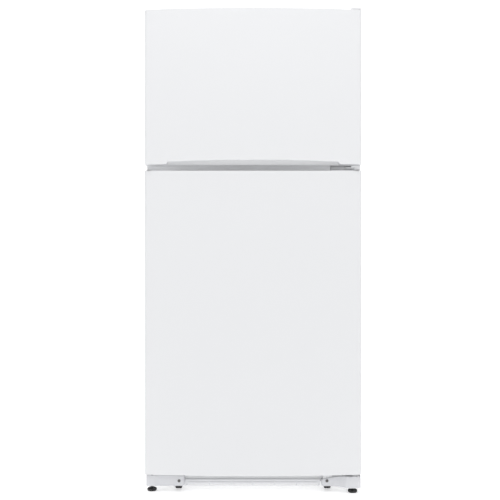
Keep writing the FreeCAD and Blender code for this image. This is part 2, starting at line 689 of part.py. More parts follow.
def crisper(x0, x1):
    """Drawer with a thick front and a full-width lip to pull on."""
    z0, z1 = FRIDGE_FLOOR + 2.0, CRISPER_COVER - 16
    outer = rounded(x0, x1, CRISPER_FRONT, 112, z0, z1, 14, 2)
    outer = outer.makeFillet(10.0, edges_in_plane(outer, 2, z0))
    inner = rounded(x0 + 3, x1 - 3, CRISPER_FRONT + 5, 109, z0 + 3, z1 + 1, 11, 2)
    inner = inner.makeFillet(7.0, edges_in_plane(inner, 2, z0 + 3))
    lip = rounded(x0 + 14, x1 - 14, CRISPER_FRONT - 12, CRISPER_FRONT + 4, z1 - 26, z1 - 4, 5, 0)
    scoop = rounded(x0 + 20, x1 - 20, CRISPER_FRONT - 9, CRISPER_FRONT, z1 - 30, z1 - 8, 3, 0)
    return outer.cut(inner).fuse(lip.cut(scoop)).removeSplitter()


HOUSING = (20.0, 290.0, -212.0, -40.0, 1028.0)     # x0, x1, front, rear and underside
KNOB = (90.0, 1050.0)
SWITCH = (236.0, 1043.0)


def control_housing():
    """Box under the fridge ceiling with the lamp, the temperature knob and the door switch."""
    x0, x1, front, rear, low = HOUSING
    outer = rounded(x0, x1, front, rear, low, FRIDGE_CEILING - 0.3, 10, 2)
    inner = box(x0 + 2.5, x1 - 2.5, front + 2.5, rear - 2.5, low + 2.5, FRIDGE_CEILING - 3)
    window = box(x0 + 30, x1 - 30, -150, -70, low - 1, low + 4)
    shaft = rod(4.08, (KNOB[0], front - 1, KNOB[1]), (KNOB[0], front + 4, KNOB[1]))
    hole = rod(5.4, (SWITCH[0], front - 1, SWITCH[1]), (SWITCH[0], front + 4, SWITCH[1]))
    return outer.cut(inner).cut(window).cut(shaft).cut(hole)


def light_lens():
    x0, x1, front, rear, low = HOUSING
    outer = rounded(x0 + 30.2, x1 - 30.2, -149.8, -70.2, low - 5, low + 2.4, 8, 2)
    inner = rounded(x0 + 32.2, x1 - 32.2, -147.8, -72.2, low - 3, low + 3, 6, 2)
    return outer.cut(inner)


def temperature_knob():
    """Round knob with a grip bar, on a shaft through the housing's front."""
    x, z = KNOB
    front = HOUSING[2]
    disc = rod(19.0, (x, front - 6, z), (x, front - 0.5, z))
    disc = disc.makeFillet(1.5, edges_in_plane(disc, 1, front - 6))
    grip = rounded(x - 4, x + 4, front - 17, front - 5, z - 17, z + 17, 3.5, 1)
    shaft = rod(4.0, (x, front - 1, z), (x, front + 14, z))
    return fused([disc, grip, shaft])


def light_switch_plunger():
    """Spring-loaded button that the closed door holds in."""
    x, z = SWITCH
    rear = HOUSING[2] + 16
    button = rod(5.0, (x, DIKE_REAR + 0.4, z), (x, rear, z))
    button = button.makeFillet(2.0, edges_in_plane(button, 1, DIKE_REAR + 0.4))
    return button.fuse(rod(8.0, (x, rear - 3, z), (x, rear, z))).removeSplitter()


def humidity_slider():
    """Slide that opens the vents over one crisper, on the cover frame's front edge."""
    z = CRISPER_COVER
    shoe = box(60, 96, SHELF_FRONT - 3.3, SHELF_FRONT - 0.4, z + 2, z + 12)
    nub = rounded(72, 84, SHELF_FRONT - 8, SHELF_FRONT - 3, z + 3, z + 11, 2, 2)
    return shoe.fuse(nub).removeSplitter()


# ---------------------------------------------------------------- freezer inside
def freezer_shelf():
    """Wire shelf: a rim of heavy wire, cross wires on top, and two under-runners."""
    half = FREEZER_HALF - 1.5
    z = FREEZER_SHELF_Z + 3.1
    rim = pipe([(0, -183, z), (-half + 3, -183, z), (-half + 3, 198, z), (half - 3, 198, z),
                (half - 3, -183, z), (0, -183, z)], 3.0, 14.0)
    wires = [rim]
    for k in range(21):
        x = -280 + 28 * k
        wires.append(rod(1.6, (x, -184, z + 2.4), (x, 199, z + 2.4)))
    for y in (-60.0, 75.0):
        wires.append(rod(2.6, (-half + 4, y, z), (half - 4, y, z)))
    return fused(wires)


FAN_Z = 1535.0


def evaporator_cover():
    """Plastic duct cover in front of the evaporator, with intake and outlet slots."""
    half = FREEZER_HALF - 0.5
    z0, z1 = FREEZER_FLOOR + 0.5, FREEZER_CEILING - 0.5
    panel = rounded(-half, half, DUCT_Y, DUCT_Y + 3, z0, z1, 19, 1)
    for k in range(9):
        x = -170 + 42.5 * k
        panel = panel.cut(rounded(x - 16, x + 16, DUCT_Y - 1, DUCT_Y + 4, z0 + 18, z0 + 25, 3.4, 1))
    for k in range(5):
        z = FAN_Z - 24 + 12 * k
        panel = panel.cut(rounded(-70, 70, DUCT_Y - 1, DUCT_Y + 4, z - 2.5, z + 2.5, 2.4, 1))
    return panel


def evaporator_coil():
    """Finned coil with a tube that snakes across, and the defrost heater rod below it."""
    pieces = []
    for k in range(31):
        x = -240 + 16 * k
        pieces.append(box(x, x + 0.8, 238, 290, 1225, 1440))
    for row, y in ((0, 252.0), (1, 276.0)):
        for k in range(5):
            z = 1245 + 44 * k
            pieces.append(rod(4.0, (-255, y, z), (255, y, z)))
    for k in range(4):
        x = 255 if k % 2 == 0 else -255
        pieces.append(rod(4.0, (x, 252, 1245 + 44 * k), (x, 252, 1289 + 44 * k)))
        pieces.append(rod(4.0, (x, 276, 1245 + 44 * k), (x, 276, 1289 + 44 * k)))
    pieces.append(rod(4.0, (255, 252, 1421), (255, 276, 1421)))
    for x in (-160.4, 159.6):
        pieces.append(box(x, x + 1.6, 289, FREEZER_REAR, 1240, 1420))
    pieces.append(rod(3.5, (-250, 264, 1212), (250, 264, 1212)))
    for x in (-248.0, 248.0):
        pieces.append(rod(3.5, (x, 264, 1212), (x, 264, 1245)))
        pieces.append(rod(3.5, (x, 252, 1245), (x, 276, 1245)))
    return fused(pieces)


def fan_motor(centre, axis, reach, leg):
    """Round motor with a shaft, three arms of the given reach, and a leg at each arm's end."""
    pieces = [Part.makeCylinder(24, 30), Part.makeCylinder(2.5, 34, V(0, 0, -34))]
    for k in range(3):
        arm = Part.makeBox(8, reach + 4, 3, V(-4, 0, 25))
        post = Part.makeCylinder(3, 26 - leg, V(0, reach, leg))
        joined = arm.fuse(post)
        joined.rotate(V(0, 0, 0), V(0, 0, 1), 60 + 120 * k)
        pieces.append(joined)
    motor = fused(pieces)
    motor.Placement = FreeCAD.Placement(V(*centre), FreeCAD.Rotation(V(0, 0, 1), V(*axis)))
    return motor


def fan_blade(centre, axis, radius):
    """Hub and four pitched blades, with a running fit on the motor's shaft."""
    c = V(*centre)
    a = V(*axis)
    place = FreeCAD.Placement(c, FreeCAD.Rotation(V(0, 0, 1), a))
    hub = Part.makeCylinder(12, 18, V(0, 0, -9))
    pieces = [hub]
    for k in range(4):
        blade = Part.makeBox(radius - 8, 34, 2, V(8, -17, -1))
        blade = blade.common(Part.makeCylinder(radius, 80, V(0, 0, -40)))
        blade.rotate(V(0, 0, 0), V(1, 0, 0), 26)
        blade.rotate(V(0, 0, 0), V(0, 0, 1), 90 * k)
        pieces.append(blade)
    fan = fused(pieces).cut(Part.makeCylinder(2.58, 40, V(0, 0, -20)))
    fan.Placement = place
    return fan


EVAPORATOR_FAN = ((0.0, 268.0, FAN_Z), (0, 1, 0), 62.0, -50.0)
EVAPORATOR_FAN_CENTRE = (0.0, 244.0, FAN_Z)
CONDENSER_FAN = ((-36.0, 268.0, 150.0), (-1, 0, 0), 87.0, -38.0)
CONDENSER_FAN_CENTRE = (-12.0, 268.0, 150.0)


# ---------------------------------------------------------------- machine bay
def compressor():
    """Welded hermetic can on a foot plate with rubber-footed corners, and a terminal box."""
    x, y = -205.0, 268.0
    can = rod(72, (x, y, 60), (x, y, 205))
    can = can.makeFillet(30, [e for e in can.Edges if isinstance(e.Curve, Part.Circle)])
    pieces = [can, rod(76, (x, y, 128), (x, y, 134))]
    pieces.append(rounded(x - 90, x + 90, y - 62, y + 62, 54, 62, 14, 2))
    for a in (-74, 74):
        for b in (-46, 46):
            pieces.append(rod(11, (x + a, y + b, 42), (x + a, y + b, 54)))
            pieces.append(rod(5, (x + a, y + b, 54), (x + a, y + b, 66)))
    pieces.append(rounded(x + 60, x + 98, y - 30, y + 30, 100, 160, 6, 0))
    return fused(pieces)


def compressor_tray():
    """Pressed steel tray across the rear of the base, with its front and rear edges turned up."""
    half = HALF_CABINET - STEEL - 3
    floor = box(-half, half, 175, 365, 40, 42)
    front = box(-half, half, 175, 177, 40, 52)
    rear = box(-half, half, 363, 365, 40, 52)
    tray = fused([floor, front, rear])
    for side in (-1, 1):
        tray = tray.cut(box(side * 300, side * 345, 312, 366, 30, 60))
    return tray


COIL_X = (60.0, 300.0)
COIL_ROWS = (215.0, 250.0, 285.0, 320.0)


def condenser_coil():
    """Four rows of tube folded up and down between two end plates."""
    x0, x1 = COIL_X
    bottom, pitch, runs = 70.0, 26.0, 7
    top = bottom + pitch * (runs - 1)
    pieces = []
    for y in COIL_ROWS:
        for k in range(runs):
            z = bottom + pitch * k
            pieces.append(rod(2.6, (x0, y, z), (x1, y, z)))
            if k < runs - 1:
                x = x1 if k % 2 == 0 else x0
                bend = Part.makeTorus(pitch / 2, 2.6, V(x, y, z + pitch / 2), V(0, 1, 0))
                outside = box(x, x + 30, y - 5, y + 5, z - 5, z + pitch + 5)
                if x == x0:
                    outside = box(x - 30, x, y - 5, y + 5, z - 5, z + pitch + 5)
                pieces.append(bend.common(outside))
    for x in (x0 + 20, x1 - 20):
        pieces.append(box(x - 0.8, x + 0.8, COIL_ROWS[0] - 8, COIL_ROWS[-1] + 8, 42, top + 10))
    pieces.append(rod(2.6, (x1, 215.0, top), (x1, 250.0, top)))
    pieces.append(rod(2.6, (x0, 250.0, bottom), (x0, 285.0, bottom)))
    pieces.append(rod(2.6, (x1, 285.0, top), (x1, 320.0, top)))
    pieces.append(rod(2.6, (x0, 215.0, 42.0), (x0, 215.0, bottom)))
    pieces.append(rod(2.6, (x0, 320.0, 42.0), (x0, 320.0, bottom)))
    return fused(pieces)


def refrigerant_lines():
    """Discharge and suction tubes from the compressor up to the bay's ceiling."""
    discharge = pipe([(-205, 340, 96), (-205, 352, 96), (-205, 352, 240), (-120, 352, 240),
                      (-120, 352, 303.8)], 2.6, 9)
    suction = pipe([(-277, 268, 110), (-305, 268, 110), (-305, 268, 270), (-305, 330, 270),
                    (-305, 330, 303.8)], 4.0, 11)
    return [discharge, suction]


def drain_pan():
    """Shallow pan over the condenser that catches defrost water."""
    outer = rounded(50, 345, 185, 355, 256, 284, 12, 2)
    outer = outer.makeFillet(4.0, edges_in_plane(outer, 2, 256))
    inner = rounded(52.5, 342.5, 187.5, 352.5, 258.5, 290, 9.5, 2)
    hanger = []
    for x in (60.0, 320.0):
        hanger.append(box(x, x + 14, 183, 186, 270, BAY_TOP - 1.2))
        hanger.append(box(x, x + 14, 354, 357, 270, BAY_TOP - 1.2))
    return fused([outer.cut(inner)] + hanger)


INLET = (-335.0, 76.0)        # centre of the hole that the mains lead would enter by


def rear_access_cover():
    """Pressed cover over the machine bay, with louvres for the condenser's air."""
    half = HALF_CABINET - STEEL - 0.5
    plate = box(-half, half, CABINET_REAR, CABINET_REAR + 1.2, 44, BAY_TOP + 14)
    rim = ring(half - 8, 52, BAY_TOP + 6, 8, CABINET_REAR, CABINET_REAR + 4, 12)
    pieces = [plate, rim]
    holes = []
    for bank in (-300.0, -90.0, 120.0):
        for k in range(8):
            z = 90 + 24 * k
            hood = prism([(bank, 378, z + 9), (bank, 383, z), (bank, 383, z - 2), (bank, 378, z - 1)],
                         (170, 0, 0))
            pieces.append(hood)
            holes.append(box(bank + 3, bank + 167, 370, 379.5, z - 8, z - 1.5))
    cover = fused(pieces)
    for hole in holes:
        cover = cover.cut(hole)
    x, z = INLET
    return cover.cut(rod(9.1, (x, 370, z), (x, 380, z)))


def power_inlet():
    """Gland where the mains lead would enter the machine bay."""
    x, z = INLET
    neck = rod(9.0, (x, 372, z), (x, 379, z))
    flange = rod(12.0, (x, 378.2, z), (x, 382.5, z))
    return neck.fuse(flange).cut(rod(4.0, (x, 370, z), (x, 386, z))).removeSplitter()


def condenser_shroud():
    """Upright plate with a round mouth that holds the condenser fan's motor."""
    plate = box(2, 4, 182, 356, 42, 250)
    return plate.cut(rod(82, (0, 268, 150), (10, 268, 150)))


# ---------------------------------------------------------------- the parts
def build_cabinet():
    middle = HINGE_SCREWS_MID + HOLES_MID
    wrapper = shank_holes(cabinet_wrapper(), HINGE_SCREWS_TOP + HOLES_TOP, 2)
    nodes["cabinet_wrapper"] = shank_holes(wrapper, middle + HINGE_SCREWS_LOW, 1)
    foam = shank_holes(cabinet_foam(), HINGE_SCREWS_TOP + HOLES_TOP, 2)
    nodes["cabinet_foam"] = shank_holes(foam, middle, 1)
    nodes["rear_panel"] = rear_panel()
    nodes["fridge_liner"] = fridge_liner()
    nodes["freezer_liner"] = freezer_liner()
    nodes["mullion_rail"] = shank_holes(mullion_rail(), middle, 1)
    nodes["base_frame"] = shank_holes(base_frame(), HINGE_SCREWS_LOW, 1)
    nodes["toe_grille"] = toe_grille()
    nodes["base_cover_left"] = base_cover_left()
    nodes["base_cover_right"] = base_cover_right()
    nodes["roller_adjust_screws"] = roller_adjust_screws()
    nodes["bottom_hinge"] = shank_holes(bottom_hinge(), HINGE_SCREWS_LOW, 1)
    nodes["center_hinge"] = shank_holes(center_hinge(), HINGE_SCREWS_MID, 1)
    nodes["top_hinge"] = shank_holes(top_hinge(), HINGE_SCREWS_TOP, 2)
    nodes["top_hinge_cover"] = top_hinge_cover()
    nodes["hinge_screws"] = hinge_screws()
    nodes["hinge_hole_plugs"] = hole_plugs()


def build_doors():
    for name, (z0, z1), dike, low in (("freezer_door", FREEZER_DOOR, FREEZER_DIKE, CAP + 13),
                                      ("fridge_door", FRIDGE_DOOR, FRIDGE_DIKE, CAP)):
        skin = door_skin(z0, z1)
        foam = door_foam(z0 + low, z1 - CAP, dike)
        if name == "freezer_door":
            skin = skin.cut(arch_cut(0.2, 60))
            foam = foam.cut(hinge_bore(z0, z0 + 25)).cut(hinge_bore(z1 - 20, z1))
            nodes["freezer_door_top_cap"] = freezer_top_cap()
            nodes["freezer_door_handle_cap"] = freezer_handle_cap()
        else:
            foam = foam.cut(pocket(z1 - 30, z1 + 10, 2.5))
            foam = foam.cut(hinge_bore(z1 - 25, z1)).cut(hinge_bore(z0, z0 + 20))
            nodes["fridge_door_handle_cap"] = fridge_handle_cap()
            nodes["fridge_door_bottom_cap"] = fridge_bottom_cap()
        nodes[name + "_skin"] = skin
        nodes[name + "_foam"] = foam
        nodes[name + "_liner"] = door_liner(z0 + low, z1 - CAP, dike)
    nodes["freezer_door_gasket"] = door_gasket(1143, 1639)
    nodes["fridge_door_gasket"] = door_gasket(87, 1107)
    bins = [door_bin(z, 96, -BIN_EDGE, BIN_EDGE, BIN_REAR) for z in FREEZER_BINS]
    nodes["freezer_door_bins"] = Part.makeCompound(bins)
    bins = [door_bin(z, 92, -BIN_EDGE, BIN_EDGE, BIN_REAR) for z in FRIDGE_BINS]
    bins.append(door_bin(JUG_Z, 120, -BIN_EDGE, BIN_EDGE, BIN_REAR))
    bins.append(dairy_tray())
    nodes["fridge_door_bins"] = Part.makeCompound(bins)
    nodes["dairy_lid"] = dairy_lid()


def build_inside():
    nodes["shelf_frames"] = Part.makeCompound([shelf_frame(z, SHELF_FRONT, 280) for z in SHELF_LEVELS])
    panes = [shelf_pane(z, SHELF_FRONT, 280) for z in SHELF_LEVELS + (CRISPER_COVER,)]
    nodes["shelf_glass"] = Part.makeCompound(panes)
    nodes["crisper_cover_frame"] = crisper_cover_frame()
    nodes["crisper_left"] = crisper(-FRIDGE_HALF + 6, -8)
    nodes["crisper_right"] = crisper(8, FRIDGE_HALF - 6)
    nodes["control_housing"] = control_housing()
    nodes["light_lens"] = light_lens()
    nodes["temperature_knob"] = temperature_knob()
    nodes["light_switch_plunger"] = light_switch_plunger()
    nodes["humidity_slider"] = humidity_slider()
    nodes["freezer_shelf"] = freezer_shelf()
    nodes["evaporator_cover"] = evaporator_cover()
    nodes["evaporator_coil"] = evaporator_coil()


def build_machine():
    nodes["compressor"] = compressor()
    nodes["compressor_tray"] = fused([compressor_tray(), condenser_shroud()])
    nodes["condenser_coil"] = Part.makeCompound([condenser_coil()] + refrigerant_lines())
    nodes["drain_pan"] = drain_pan()
    nodes["rear_access_cover"] = rear_access_cover()
    nodes["power_inlet"] = power_inlet()
    motors = [fan_motor(*EVAPORATOR_FAN), fan_motor(*CONDENSER_FAN)]
    nodes["fan_motors"] = Part.makeCompound(motors)
    nodes["evaporator_fan_blade"] = fan_blade(EVAPORATOR_FAN_CENTRE, EVAPORATOR_FAN[1], 52)
    nodes["condenser_fan_blade"] = fan_blade(CONDENSER_FAN_CENTRE, CONDENSER_FAN[1], 76)


def build_rolling():
    nodes["front_roller_left"] = roller(FRONT_ROLLER_R, FRONT_ROLLER_HALF, -ROLLER_X, *FRONT_ROLLER)
    nodes["front_roller_right"] = roller(FRONT_ROLLER_R, FRONT_ROLLER_HALF, ROLLER_X, *FRONT_ROLLER)
    nodes["rear_roller_left"] = roller(REAR_ROLLER_R, REAR_ROLLER_HALF, -REAR_ROLLER_X, *REAR_ROLLER)
    nodes["rear_roller_right"] = roller(REAR_ROLLER_R, REAR_ROLLER_HALF, REAR_ROLLER_X, *REAR_ROLLER)
    nodes["levelling_foot_left"] = levelling_foot(FOOT_LEFT, 60)
    nodes["levelling_foot_right"] = levelling_foot(FOOT_RIGHT, 48)


build_cabinet()
build_doors()
build_inside()
build_machine()
build_rolling()
os.makedirs("parts", exist_ok=True)
for node, shape in nodes.items():
    shape.exportStep("parts/" + node + ".step")
    b = shape.BoundBox
    line = "%-24s valid %s solids %d volume %.0f  X %.1f %.1f  Y %.1f %.1f  Z %.1f %.1f"
    print(line % (node, shape.isValid(), len(shape.Solids), shape.Volume,
                  b.XMin, b.XMax, b.YMin, b.YMax, b.ZMin, b.ZMax))
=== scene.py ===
import bpy
import bmesh
import math
from mathutils import Matrix, Vector


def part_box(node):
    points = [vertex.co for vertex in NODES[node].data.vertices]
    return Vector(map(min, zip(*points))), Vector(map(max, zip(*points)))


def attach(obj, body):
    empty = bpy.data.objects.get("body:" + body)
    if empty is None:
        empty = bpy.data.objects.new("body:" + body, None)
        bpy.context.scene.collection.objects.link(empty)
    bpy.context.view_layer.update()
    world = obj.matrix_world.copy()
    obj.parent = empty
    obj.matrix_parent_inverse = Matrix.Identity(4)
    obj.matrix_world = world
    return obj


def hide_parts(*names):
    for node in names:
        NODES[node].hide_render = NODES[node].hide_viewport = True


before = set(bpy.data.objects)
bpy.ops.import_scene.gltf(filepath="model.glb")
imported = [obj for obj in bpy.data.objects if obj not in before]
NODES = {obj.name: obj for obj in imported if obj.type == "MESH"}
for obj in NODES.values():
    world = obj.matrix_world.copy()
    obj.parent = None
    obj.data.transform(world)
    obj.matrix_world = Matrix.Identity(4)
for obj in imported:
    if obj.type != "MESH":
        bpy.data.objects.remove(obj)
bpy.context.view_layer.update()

# A top freezer refrigerator. The door skins, end caps, gaskets, base covers, toe grille, feet, rollers
# and hinge trim are made here, and every other piece is its CAD node with a finish. Lengths in metres.


# ---------------------------------------------------------------- materials
class Graph:
    """A material's node tree with a Principled shader, and short ways to add nodes."""

    def __init__(self, name, base, rough, metallic=0.0):
        self.mat = bpy.data.materials.new(name)
        self.mat.use_nodes = True
        self.tree = self.mat.node_tree
        self.shader = self.tree.nodes["Principled BSDF"]
        self.set("Base Color", (*base, 1.0))
        self.set("Roughness", rough)
        self.set("Metallic", metallic)
        self.coord = self.node("ShaderNodeTexCoord")
        self.base = base
        self.rough = rough

    def node(self, kind, **values):
        made = self.tree.nodes.new(kind)
        for key, value in values.items():
            setattr(made, key, value)
        return made

    def set(self, socket, value):
        self.shader.inputs[socket].default_value = value

    def link(self, a, b):
        self.tree.links.new(a, b)

    def stretched(self, scale):
        """Object coordinates times a scale along each axis."""
        mapping = self.node("ShaderNodeMapping")
        mapping.inputs["Scale"].default_value = scale
        self.link(self.coord.outputs["Object"], mapping.inputs["Vector"])
        return mapping.outputs["Vector"]

    def noise(self, scale, detail=3.0, stretch=(1, 1, 1), roughness=0.5):
        made = self.node("ShaderNodeTexNoise")
        made.inputs["Scale"].default_value = scale
        made.inputs["Detail"].default_value = detail
        made.inputs["Roughness"].default_value = roughness
        self.link(self.stretched(stretch), made.inputs["Vector"])
        return made.outputs["Fac"]

    def voronoi(self, scale):
        made = self.node("ShaderNodeTexVoronoi")
        made.inputs["Scale"].default_value = scale
        self.link(self.coord.outputs["Object"], made.inputs["Vector"])
        return made.outputs

    def ranged(self, value, low, high):
        made = self.node("ShaderNodeMapRange")
        made.inputs["To Min"].default_value = low
        made.inputs["To Max"].default_value = high
        self.link(value, made.inputs["Value"])
        return made.outputs["Result"]

    def tint(self, value, spread):
        """Colour that varies by spread either side of the base, as value goes from 0 to 1."""
        mix = self.node("ShaderNodeMix", data_type="RGBA")
        dark = [max(0.0, c * (1 - spread)) for c in self.base]
        light = [min(1.0, c * (1 + spread)) for c in self.base]
        mix.inputs["A"].default_value = (*dark, 1.0)
        mix.inputs["B"].default_value = (*light, 1.0)
        self.link(value, mix.inputs["Factor"])
        self.link(mix.outputs["Result"], self.shader.inputs["Base Color"])

    def rough_by(self, value, spread):
        self.link(self.ranged(value, max(0.02, self.rough - spread), min(1.0, self.rough + spread)),
                  self.shader.inputs["Roughness"])

    def bump(self, value, strength, distance):
        made = self.node("ShaderNodeBump")
        made.inputs["Strength"].default_value = strength
        made.inputs["Distance"].default_value = distance
        self.link(value, made.inputs["Height"])
        if self.shader.inputs["Normal"].is_linked:
            self.link(self.shader.inputs["Normal"].links[0].from_socket, made.inputs["Normal"])
        self.link(made.outputs["Normal"], self.shader.inputs["Normal"])


def enamel(name, base, rough, peel, scale):
    """Baked paint: faint orange peel, a little uneven gloss, a clear coat."""
    g = Graph(name, base, rough)
    g.tint(g.noise(2.2, 2.0), 0.008)
    g.rough_by(g.noise(9.0, 4.0), 0.05)
    g.bump(g.noise(scale, 2.0), peel, 0.0004)
    g.set("Coat Weight", 0.12)
    g.set("Coat Roughness", 0.2)
    g.set("Specular IOR Level", 0.40)
    return g.mat


def plastic(name, base, rough, grain=0.12, scale=900.0, tint=0.012):
    """Moulded plastic with a fine spark-eroded grain."""
    g = Graph(name, base, rough)
    g.tint(g.noise(14.0, 3.0), tint)
    g.rough_by(g.noise(60.0, 3.0), 0.05)
    g.bump(g.noise(scale, 3.0), grain, 0.0003)
    return g.mat


def clear_plastic(name, base, rough, transmission):
    g = Graph(name, base, rough)
    g.set("Transmission Weight", transmission)
    g.set("IOR", 1.49)
    g.rough_by(g.noise(35.0, 3.0), 0.03)
    g.bump(g.noise(18.0, 2.0), 0.05, 0.001)
    return g.mat


def metal(name, base, rough, stretch, scale=60.0, strength=0.15):
    """Bare or plated metal with marks drawn out along one way."""
    g = Graph(name, base, rough, 1.0)
    lines = g.noise(scale, 4.0, stretch)
    g.tint(lines, 0.08)
    g.rough_by(lines, 0.10)
    g.bump(lines, strength, 0.0002)
    return g.mat


def galvanised(name):
    """Zinc-coated sheet with a spangle."""
    g = Graph(name, (0.56, 0.57, 0.58), 0.42, 1.0)
    spangle = g.node("ShaderNodeSeparateColor")
    g.link(g.voronoi(70.0)["Color"], spangle.inputs["Color"])
    g.tint(spangle.outputs["Red"], 0.16)
    g.rough_by(spangle.outputs["Green"], 0.12)
    g.bump(g.noise(240.0, 2.0), 0.08, 0.0003)
    return g.mat


def rubber(name, base, rough):
    g = Graph(name, base, rough)
    g.tint(g.noise(30.0, 4.0), 0.05)
    g.rough_by(g.noise(90.0, 3.0), 0.08)
    g.bump(g.noise(700.0, 3.0), 0.15, 0.0003)
    return g.mat


def foam():
    g = Graph("rigid_foam", (0.80, 0.70, 0.45), 0.9)
    cells = g.voronoi(420.0)["Distance"]
    g.tint(cells, 0.12)
    g.bump(cells, 0.5, 0.001)
    return g.mat


def pane_glass():
    g = Graph("tempered_glass", (0.88, 0.96, 0.93), 0.03)
    g.set("Transmission Weight", 0.92)
    g.set("IOR", 1.5)
    g.rough_by(g.noise(25.0, 3.0), 0.02)
    g.bump(g.noise(6.0, 1.0), 0.02, 0.001)
    return g.mat


M = {
    "door": enamel("door_enamel", (0.80, 0.807, 0.822), 0.45, 0.10, 420.0),
    "cabinet": enamel("cabinet_enamel", (0.79, 0.795, 0.805), 0.45, 0.35, 260.0),
    "cap": plastic("cap_plastic", (0.78, 0.785, 0.80), 0.45),
    # The grip moulding's scoop plastic is toned darker than the caps, a painted shade; the wall behind its
    # pocket is toned lighter, a painted light that lifts the shade in the gap between the doors.
    "grip": plastic("grip_plastic_painted_shade", (0.70, 0.706, 0.72), 0.5),
    "grip_wall_painted_light": plastic("grip_wall_plastic", (0.84, 0.847, 0.865), 0.5),
    # The base covers' plastic is toned darker than the other whites, a painted shade for the door's shadow
    # over them.
    "cover": plastic("cover_plastic", (0.71, 0.715, 0.74), 0.5),
    "grille": plastic("grille_plastic", (0.80, 0.805, 0.825), 0.5),
    "liner": plastic("liner_plastic", (0.83, 0.84, 0.845), 0.30, 0.05, 500.0),
    "bin": clear_plastic("bin_plastic", (0.90, 0.94, 0.96), 0.14, 0.82),
    "crisper": clear_plastic("crisper_plastic", (0.88, 0.93, 0.95), 0.18, 0.75),
    "lens": clear_plastic("lamp_lens", (0.96, 0.94, 0.88), 0.35, 0.55),
    "glass": pane_glass(),
    "gasket": rubber("gasket_vinyl", (0.66, 0.66, 0.655), 0.55),
    "black": plastic("black_plastic", (0.012, 0.012, 0.013), 0.45, 0.2, 700.0, 0.10),
    "grey": plastic("grey_plastic", (0.30, 0.31, 0.33), 0.45),
    "slider": plastic("slider_plastic", (0.18, 0.24, 0.33), 0.40),
    "steel": galvanised("galvanised_steel"),
    "hinge": enamel("hinge_paint", (0.78, 0.785, 0.795), 0.4, 0.15, 300.0),
    # The spacer's grey stands in for the shade between the doors beside the middle hinge: painted shade.
    "spacer": plastic("spacer_plastic_painted_shade", (0.64, 0.645, 0.66), 0.5),
    "sill": enamel("sill_paint", (0.80, 0.806, 0.815), 0.5, 0.10, 300.0),
    "rear": enamel("rear_paint", (0.50, 0.505, 0.51), 0.5, 0.30, 220.0),
    "screw": metal("screw_steel", (0.42, 0.42, 0.43), 0.35, (1, 1, 1), 300.0),
    "dark_screw": metal("dark_screw", (0.16, 0.155, 0.15), 0.45, (1, 1, 1), 300.0),
    "can": enamel("compressor_enamel", (0.02, 0.02, 0.022), 0.35, 0.5, 160.0),
    "coil": enamel("coil_enamel", (0.05, 0.045, 0.042), 0.5, 0.3, 200.0),
    "fins": metal("fin_aluminium", (0.78, 0.79, 0.80), 0.35, (1, 1, 30), 40.0),
    "wire": enamel("wire_coating", (0.80, 0.80, 0.81), 0.32, 0.10, 600.0),
    "foam": foam(),
}


def paint(obj, key):
    """Makes M[key] the object's only material."""
    obj.data.materials.clear()
    obj.data.materials.append(M[key])


# ---------------------------------------------------------------- mesh helpers
CRISP = 32.0                  # degrees between faces from which an edge stays sharp
ROUND_CRISP = 34.0            # the same on turned pieces


def shaded(obj, angle=CRISP):
    """Smooth shading, with edges over the angle kept crisp."""
    for polygon in obj.data.polygons:
        polygon.use_smooth = True
    obj.data.set_sharp_from_angle(angle=math.radians(angle))


def piece(name, verts, faces, body=None, key=None, slot=None, replaces=(), angle=CRISP):
    """A mesh object, finished and fixed to a body if one is named."""
    mesh = bpy.data.meshes.new(name)
    mesh.from_pydata([tuple(v) for v in verts], [], faces)
    mesh.validate()
    bm = bmesh.new()
    bm.from_mesh(mesh)
    bmesh.ops.remove_doubles(bm, verts=bm.verts, dist=1e-6)
    bmesh.ops.recalc_face_normals(bm, faces=bm.faces)
    bm.to_mesh(mesh)
    bm.free()
    obj = bpy.data.objects.new(name, mesh)
    bpy.context.scene.collection.objects.link(obj)
    if body:
        return dress(obj, body, key, replaces, angle)
    return obj


def dress(obj, body, key, replaces=(), angle=CRISP):
    """Gives a mesh piece its finish, its body and the CAD nodes it replaces."""
    paint(obj, key)
    shaded(obj, angle)
    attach(obj, body)
    if replaces:
        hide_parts(*replaces)
    return obj


def grid_faces(columns, rows, wrap_columns=False, wrap_rows=False):
    """Quads of a grid whose vertices are stored column after column."""
    faces = []
    for c in range(columns if wrap_columns else columns - 1):
        for r in range(rows if wrap_rows else rows - 1):
            a, b = c * rows, ((c + 1) % columns) * rows
            s = (r + 1) % rows
            faces.append((a + r, b + r, b + s, a + s))
    return faces


def apply_modifiers(obj):
    """Turns an object's modifiers into its own mesh."""
    bpy.context.view_layer.update()
    graph = bpy.context.evaluated_depsgraph_get()
    mesh = bpy.data.meshes.new_from_object(obj.evaluated_get(graph))
    old = obj.data
    obj.modifiers.clear()
    obj.data = mesh
    bpy.data.meshes.remove(old)


def bevel(obj, width, segments, angle=30.0):
    """Rounds the edges between faces that meet at more than the angle, in degrees."""
    mod = obj.modifiers.new("bevel", "BEVEL")
    mod.width = width
    mod.segments = segments
    mod.limit_method = "ANGLE"
    mod.angle_limit = math.radians(angle)
    return obj


def cut(obj, tools):
    """Takes the tools' volumes out of obj."""
    for tool in tools:
        mod = obj.modifiers.new("cut", "BOOLEAN")
        mod.operation = "DIFFERENCE"
        mod.solver = "EXACT"
        mod.object = tool
    apply_modifiers(obj)
    for tool in tools:
        bpy.data.objects.remove(tool)


def prism(name, points, direction):
    """A closed solid: the polygon swept along direction, both in metres."""
    n = len(points)
    d = Vector(direction)
    verts = [Vector(p) for p in points] + [Vector(p) + d for p in points]
    faces = [tuple(range(n)), tuple(range(2 * n - 1, n - 1, -1))]
    faces += [(k, (k + 1) % n, n + (k + 1) % n, n + k) for k in range(n)]
    return piece(name, verts, faces)


